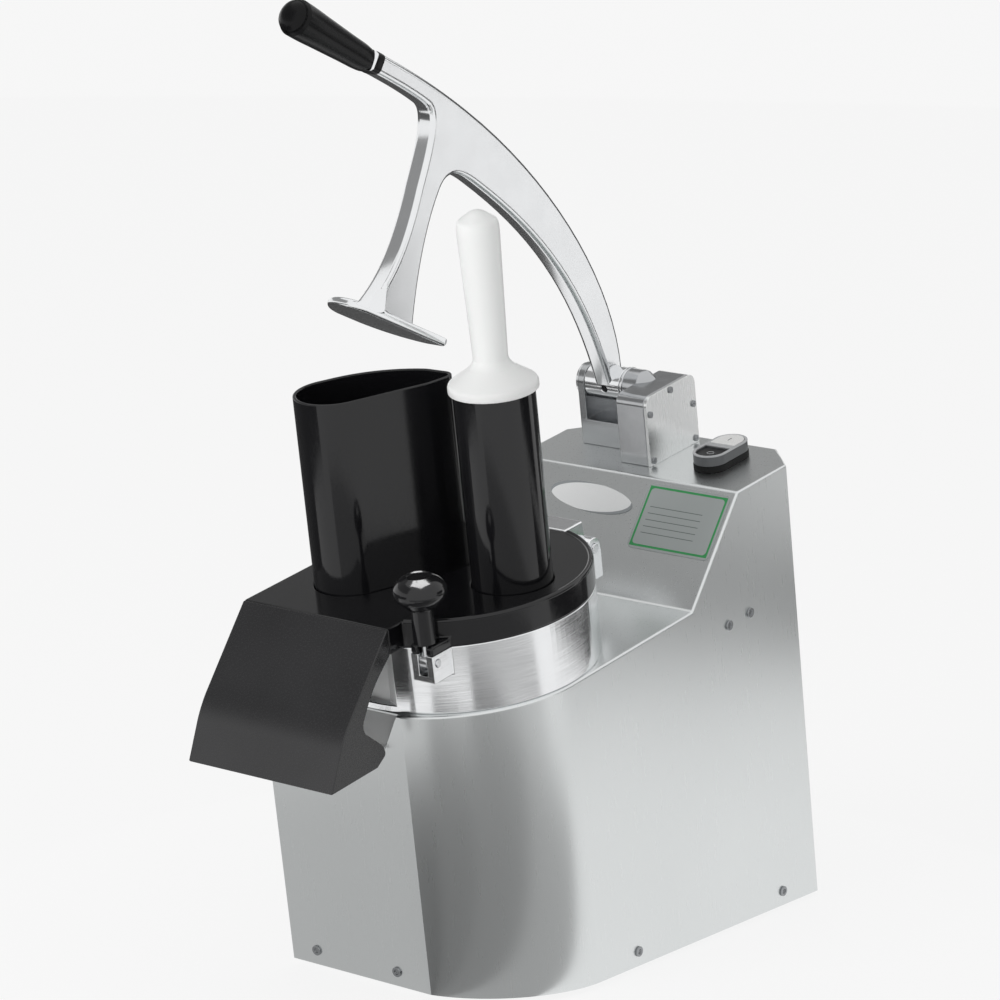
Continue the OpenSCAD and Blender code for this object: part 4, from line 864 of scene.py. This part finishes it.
# %% Button marks
MARK_T, MARK_BEVEL, RING_INNER, RING_OUTER, HALF_LEN, HALF_WIDE = 0.25, 0.1, 2.6, 3.2, 3, 0.35
ring_mark = turn([(RING_INNER, 0, 0), (RING_OUTER, 0, 0), (RING_OUTER, MARK_T, MARK_BEVEL),
                  (RING_INNER, MARK_T, MARK_BEVEL)], 40, ring=True)
bar_mark = slab([(-HALF_LEN, 0), (HALF_LEN, 0), (HALF_LEN, MARK_T), (-HALF_LEN, MARK_T)],
                -HALF_WIDE, HALF_WIDE)
soften(bar_mark, sharp_edges(bar_mark), MARK_BEVEL, 2)
for name, mark, y_at, top, finish, slot in (
        ("stop", ring_mark, -END_MID, STOP_TOP, bright_steel, "bright_steel"),
        ("start", bar_mark, END_MID, START_TOP, grey_moulding, "grey_plastic")):
    on_button = on_switch @ Matrix.Translation((0, y_at, top - MARK_SINK))
    make_piece(name + "_mark", mark, on_button, finish, name)
print("marks", 2)

# %% [markdown]
# ## Plates on the slope
# A printed film with a green frame and a bare oval badge are stuck to the slope. Both are thin
# plates with blunt edges. What is printed on the film is a distance field: how far a point is
# from a rounded rectangle tells where the frame's line runs, and plain rules fill the inside.

# %% Plate shapes
SLOPE = math.atan2(REAR_DECK - DECK, SLOPE_HEAD - SLOPE_FOOT)
FILM_W, FILM_H, FILM_R, THIN, THIN_EDGE = 84, 60, 5, 0.6, 0.2
BADGE_W, BADGE_H, BADGE_TURN = 88, 26, math.radians(-4)
FILM_AT, BADGE_AT = (71, 76, 0), (-24, 84, 0)
slope_foot = leaning @ Matrix.Translation((0, SLOPE_FOOT, DECK))
on_slope = slope_foot @ Matrix.Rotation(SLOPE, 4, "X")
film_place = on_slope @ Matrix.Translation(FILM_AT)
badge_place = on_slope @ Matrix.Translation(BADGE_AT) @ Matrix.Rotation(BADGE_TURN, 4, "Z")


def thin_plate(bm):
    pull(bm, bm.faces[:], (0, 0, THIN))
    soften(bm, sharp_edges(bm), THIN_EDGE, 2)
    return bm


film_bm = bmesh.new()
bmesh.ops.create_grid(film_bm, x_segments=1, y_segments=1, size=0.5)
bmesh.ops.scale(film_bm, vec=(FILM_W, FILM_H, 1), verts=film_bm.verts[:])
soften(film_bm, film_bm.verts[:], FILM_R, 6, "VERTICES")
badge_bm = bmesh.new()
bmesh.ops.create_circle(badge_bm, cap_ends=True, segments=96, radius=0.5)
bmesh.ops.scale(badge_bm, vec=(BADGE_W, BADGE_H, 1), verts=badge_bm.verts[:])
print("slope", round(math.degrees(SLOPE), 1))

# %% Film and badge finishes
def chain(tree, operation, a, b=None):
    """One Math node; a and b are sockets or numbers."""
    node = tree.nodes.new("ShaderNodeMath")
    node.operation = operation
    for socket, value in zip(node.inputs, (a, b)):
        if value is None:
            continue
        if isinstance(value, (int, float)):
            socket.default_value = value
        else:
            tree.links.new(value, socket)
    return node.outputs[0]


def paint_over(mat, mask, color):
    tree = mat.node_tree
    shader = tree.nodes["Principled BSDF"]
    over = tree.nodes.new("ShaderNodeMix")
    over.data_type = "RGBA"
    over.inputs["B"].default_value = (*color, 1)
    tree.links.new(mask, over.inputs["Factor"])
    tree.links.new(shader.inputs["Base Color"].links[0].from_socket, over.inputs["A"])
    tree.links.new(over.outputs["Result"], shader.inputs["Base Color"])


def slope_axes(tree, place):
    split = tree.nodes.new("ShaderNodeSeparateXYZ")
    tree.links.new(turned_coords(tree, place.translation, LEAN + SLOPE), split.inputs[0])
    return split.outputs["X"], split.outputs["Y"]


def framed_film():
    mat = new_finish("framed film", (0.40, 0.43, 0.425), 0.34, 0, 0.04, 0.02, 20)
    tree = mat.node_tree
    axes = slope_axes(tree, film_place)
    inset, line, corner = 3.2 * MM, 1.0 * MM, 4.5 * MM
    squares, insides = [], []
    for axis, size in zip(axes, (FILM_W, FILM_H)):
        out = chain(tree, "ABSOLUTE", axis)
        past_corner = chain(tree, "SUBTRACT", out, size * MM / 2 - inset - corner)
        squares.append(chain(tree, "POWER", chain(tree, "MAXIMUM", past_corner, 0.0), 2.0))
        insides.append(chain(tree, "SUBTRACT", out, size * MM / 2 - inset))
    far = chain(tree, "SQRT", chain(tree, "ADD", *squares))
    round_part = chain(tree, "ABSOLUTE", chain(tree, "SUBTRACT", far, corner))
    straight_part = chain(tree, "ABSOLUTE", chain(tree, "MAXIMUM", *insides))
    edge = chain(tree, "MINIMUM", round_part, straight_part)
    paint_over(mat, chain(tree, "LESS_THAN", edge, line), (0.04, 0.33, 0.10))
    row_step, half_row, block_shift, block_half = 6 * MM, 0.06, (6 * MM, 5 * MM), (27 * MM, 15 * MM)
    rows = chain(tree, "FRACT", chain(tree, "DIVIDE", axes[1], row_step))
    row = chain(tree, "SUBTRACT", rows, 0.5)
    rules = chain(tree, "LESS_THAN", chain(tree, "ABSOLUTE", row), half_row)
    for axis, shift, half in zip(axes, block_shift, block_half):
        off = chain(tree, "ABSOLUTE", chain(tree, "ADD", axis, shift))
        rules = chain(tree, "MULTIPLY", rules, chain(tree, "LESS_THAN", off, half))
    paint_over(mat, rules, (0.16, 0.19, 0.18))
    return mat


def edged_badge():
    mat = new_finish("edged badge", (0.84, 0.85, 0.85), 0.30, 0, 0.04, 0.01, 20)
    tree = mat.node_tree
    rim_from = 0.955
    squares = [chain(tree, "POWER", chain(tree, "DIVIDE", axis, size * MM / 2), 2.0)
               for axis, size in zip(slope_axes(tree, badge_place), (BADGE_W, BADGE_H))]
    out = chain(tree, "SQRT", chain(tree, "ADD", *squares))
    paint_over(mat, chain(tree, "GREATER_THAN", out, rim_from), (0.30, 0.32, 0.33))
    return mat


make_piece("framed_film", thin_plate(film_bm), film_place, framed_film(), "machine",
           ("instruction_plate",))
make_piece("edged_badge", thin_plate(badge_bm), badge_place, edged_badge(), "machine",
           ("oval_badge",))
print("plates", 2)

# %% [markdown]
# ## True flats
# A flat face beside a rounded edge must stay flat to the light, or its reflections bend. Weighting
# each corner's normal by the size of its faces does that, as the last modifier of every piece.

# %% Weighted normals
for obj in pieces:
    flats = obj.modifiers.new("true flats", "WEIGHTED_NORMAL")
    flats.keep_sharp = True
print("pieces", len(pieces))

# %% [markdown]
# ## Camera, light and floor
# The camera stands where the photograph's did. A white surround and a pale floor light the object
# softly from all round. Polished metal only looks like metal when it has something dark to show,
# so a photographer sets black cards round it. Here they are seen by reflections only. The floor
# cards at the foot of the nose are painted shade: they put the machine's shadow on the floor in
# front of it into the casing's reflections. The floor glows enough to look nearly white, and its
# painted share still takes the object's shadow. One lamp lights the latch knob alone, for its
# gleam.

# %% Camera
CAMERA_MM = Vector((2036.7, -2496.22, 1117.07))
AZ, EL, ROLL = (math.radians(a) for a in (37.874, 12.403, 0.625))
FOCAL_PX, FRAME_PX, SENSOR = 4140.5, 1000, 36
back = Vector((math.sin(AZ) * math.cos(EL), -math.cos(AZ) * math.cos(EL), math.sin(EL)))
right = Vector((math.cos(AZ), math.sin(AZ), 0))
up = back.cross(right)
right, up = (math.cos(ROLL) * right + math.sin(ROLL) * up,
             math.cos(ROLL) * up - math.sin(ROLL) * right)
camera_data = bpy.data.cameras.new("camera")
camera_data.sensor_width = SENSOR
camera_data.lens = FOCAL_PX / FRAME_PX * SENSOR
camera_data.clip_end = 60
camera = bpy.data.objects.new("camera", camera_data)
scene.collection.objects.link(camera)
turned_axes = Matrix((right, up, back)).transposed().to_4x4()
stand = CAMERA_MM * MM + Vector((0, to_back, shell_low.z))
camera.matrix_world = Matrix.Translation(stand) @ turned_axes
scene.camera = camera
print("camera", [round(c, 3) for c in camera.location])

# %% Lights
def soft_light(name, place, aim, size, watts, mirrored):
    data = bpy.data.lights.new(name, "AREA")
    data.shape = "RECTANGLE"
    data.size, data.size_y = size
    data.energy = watts
    lamp = bpy.data.objects.new(name, data)
    lamp.location = place
    lamp.rotation_euler = (Vector(aim) - Vector(place)).to_track_quat("-Z", "Y").to_euler()
    lamp.visible_glossy = mirrored
    scene.collection.objects.link(lamp)
    return lamp


soft_light("front_fill", (-0.7, -2.9, 0.9), (0, 0, 0.45), (1.6, 1.6), 32, False)
gleam = soft_light("knob_gleam", (0.06, -0.3, 1.5), (0.06, -0.18, 0.4), (0.9, 0.9), 36, True)
gleam.visible_diffuse = gleam.visible_camera = False
knob_only = bpy.data.collections.new("knob only")
knob_only.objects.link(knob)
gleam.light_linking.receiver_collection = knob_only
print("lamps", 2)

# %% World
AMBIENT = 0.68


def mirrored_rays(tree, path):
    glossy, through = path.outputs["Is Glossy Ray"], path.outputs["Is Transmission Ray"]
    return chain(tree, "MAXIMUM", glossy, through)


world = bpy.data.worlds.new("studio")
scene.world = world
world.use_nodes = True
tree = world.node_tree
sky = tree.nodes["Background"]
path = tree.nodes.new("ShaderNodeLightPath")
mirrored = mirrored_rays(tree, path)
seen = chain(tree, "MAXIMUM", path.outputs["Is Camera Ray"], mirrored)
level_node = tree.nodes.new("ShaderNodeMapRange")
level_node.inputs["To Min"].default_value = AMBIENT
tree.links.new(seen, level_node.inputs["Value"])
tree.links.new(level_node.outputs["Result"], sky.inputs["Strength"])
sky.inputs["Color"].default_value = (1, 1, 1, 1)
world.cycles.sampling_method = "NONE"
print("ambient", AMBIENT)

# %% Floor
FLOOR_SIZE, FLOOR_TONE, FLOOR_ROUGH = 22, (0.9, 0.9, 0.9, 1), 0.9
FLOOR_SEEN, FLOOR_MIRRORED = 0.80, 0.93
bm = bmesh.new()
bmesh.ops.create_grid(bm, x_segments=1, y_segments=1, size=FLOOR_SIZE)
floor = link_mesh("floor", bm)
floor_finish = bpy.data.materials.new("pale floor")
floor_finish.use_nodes = True
tree = floor_finish.node_tree
paint = tree.nodes["Principled BSDF"]
paint.inputs["Base Color"].default_value = FLOOR_TONE
paint.inputs["Roughness"].default_value = FLOOR_ROUGH
glow = tree.nodes.new("ShaderNodeEmission")
mixer = tree.nodes.new("ShaderNodeMixShader")
path = tree.nodes.new("ShaderNodeLightPath")
mirrored = mirrored_rays(tree, path)
shown = chain(tree, "MAXIMUM", chain(tree, "MULTIPLY", path.outputs["Is Camera Ray"], FLOOR_SEEN),
              chain(tree, "MULTIPLY", mirrored, FLOOR_MIRRORED))
tree.links.new(shown, mixer.inputs["Fac"])
tree.links.new(paint.outputs["BSDF"], mixer.inputs[1])
tree.links.new(glow.outputs["Emission"], mixer.inputs[2])
tree.links.new(mixer.outputs["Shader"], tree.nodes["Material Output"].inputs["Surface"])
floor_finish.cycles.emission_sampling = "NONE"
floor.data.materials.append(floor_finish)
scene.view_settings.view_transform = "Standard"
print("floor", FLOOR_SIZE)

# %% Dark cards
def card_tone(grey):
    mat = bpy.data.materials.new("dark card")
    mat.use_nodes = True
    tree = mat.node_tree
    tree.nodes.remove(tree.nodes["Principled BSDF"])
    tone = tree.nodes.new("ShaderNodeEmission")
    tone.inputs["Color"].default_value = (grey, grey, grey, 1)
    tree.links.new(tone.outputs["Emission"], tree.nodes["Material Output"].inputs["Surface"])
    mat.cycles.emission_sampling = "NONE"
    return mat


def dark_card(name, centre, ends, start, sweep, grey):
    """A strip swept round the object; angles run from the front towards the right."""
    bm = bmesh.new()
    a = math.radians(start)
    pair = [bm.verts.new((r * math.sin(a), -r * math.cos(a), z)) for r, z in ends]
    bm.edges.new(pair)
    spin_round(bm, sweep, 24)
    bmesh.ops.translate(bm, vec=(*centre, 0), verts=bm.verts[:])
    card = link_mesh(name, bm)
    card.data.materials.append(card_tone(grey))
    card.visible_camera = card.visible_diffuse = False
    card.visible_shadow = card.visible_transmission = False


FLOOR_LIFT = 0.003
MIDDLE, CREASE_FOOT = (0, 0), (CREASE_X * MM, to_back)
UPRIGHT_CARDS = [  # name, radius, low, high, start, sweep, grey
    ("left", 3.0, 1.35, 3.8, -165, 150, 0.3),
    ("right_high", 7.0, 0.0, 1.9, 114, 34, 0.05),
    ("back_high", 6.0, 0.0, 2.4, 160, 42, 0.08)]
FLOOR_CARDS = [  # name, centre, near, far, start, sweep, grey
    # painted shade: the five cards centred on the crease's foot put the machine's shadow on the
    # floor in front of its nose into the casing's reflections
    ("nose", CREASE_FOOT, 0.0, 0.36, -24, 40, 0.15),
    ("nose_side", CREASE_FOOT, 0.0, 0.46, 16, 36, 0.21),
    ("nose_right", CREASE_FOOT, 0.0, 0.60, 52, 40, 0.26),
    ("nose_edge", CREASE_FOOT, 0.0, 0.60, 92, 34, 0.42),
    ("front_left", CREASE_FOOT, 0.0, 0.46, -90, 66, 0.55),
    ("front_far", MIDDLE, 0.70, 0.98, 0, 96, 0.5),
    ("lever_edges", MIDDLE, 1.05, 3.2, -84, 70, 0.1),
    ("side_top", MIDDLE, 1.85, 3.4, 108, 35.5, 0.03),
    ("right", MIDDLE, 1.15, 1.62, 116, 44, 0.03),
    ("behind", MIDDLE, 0.5, 6.0, 160, 150, 0.08)]
for name, radius, low, high, start, sweep, grey in UPRIGHT_CARDS:
    dark_card("card_" + name, MIDDLE, ((radius, low), (radius, high)), start, sweep, grey)
for name, centre, near, far, start, sweep, grey in FLOOR_CARDS:
    dark_card("card_" + name, centre, ((near, FLOOR_LIFT), (far, FLOOR_LIFT)), start, sweep, grey)
print("cards", len(UPRIGHT_CARDS) + len(FLOOR_CARDS))
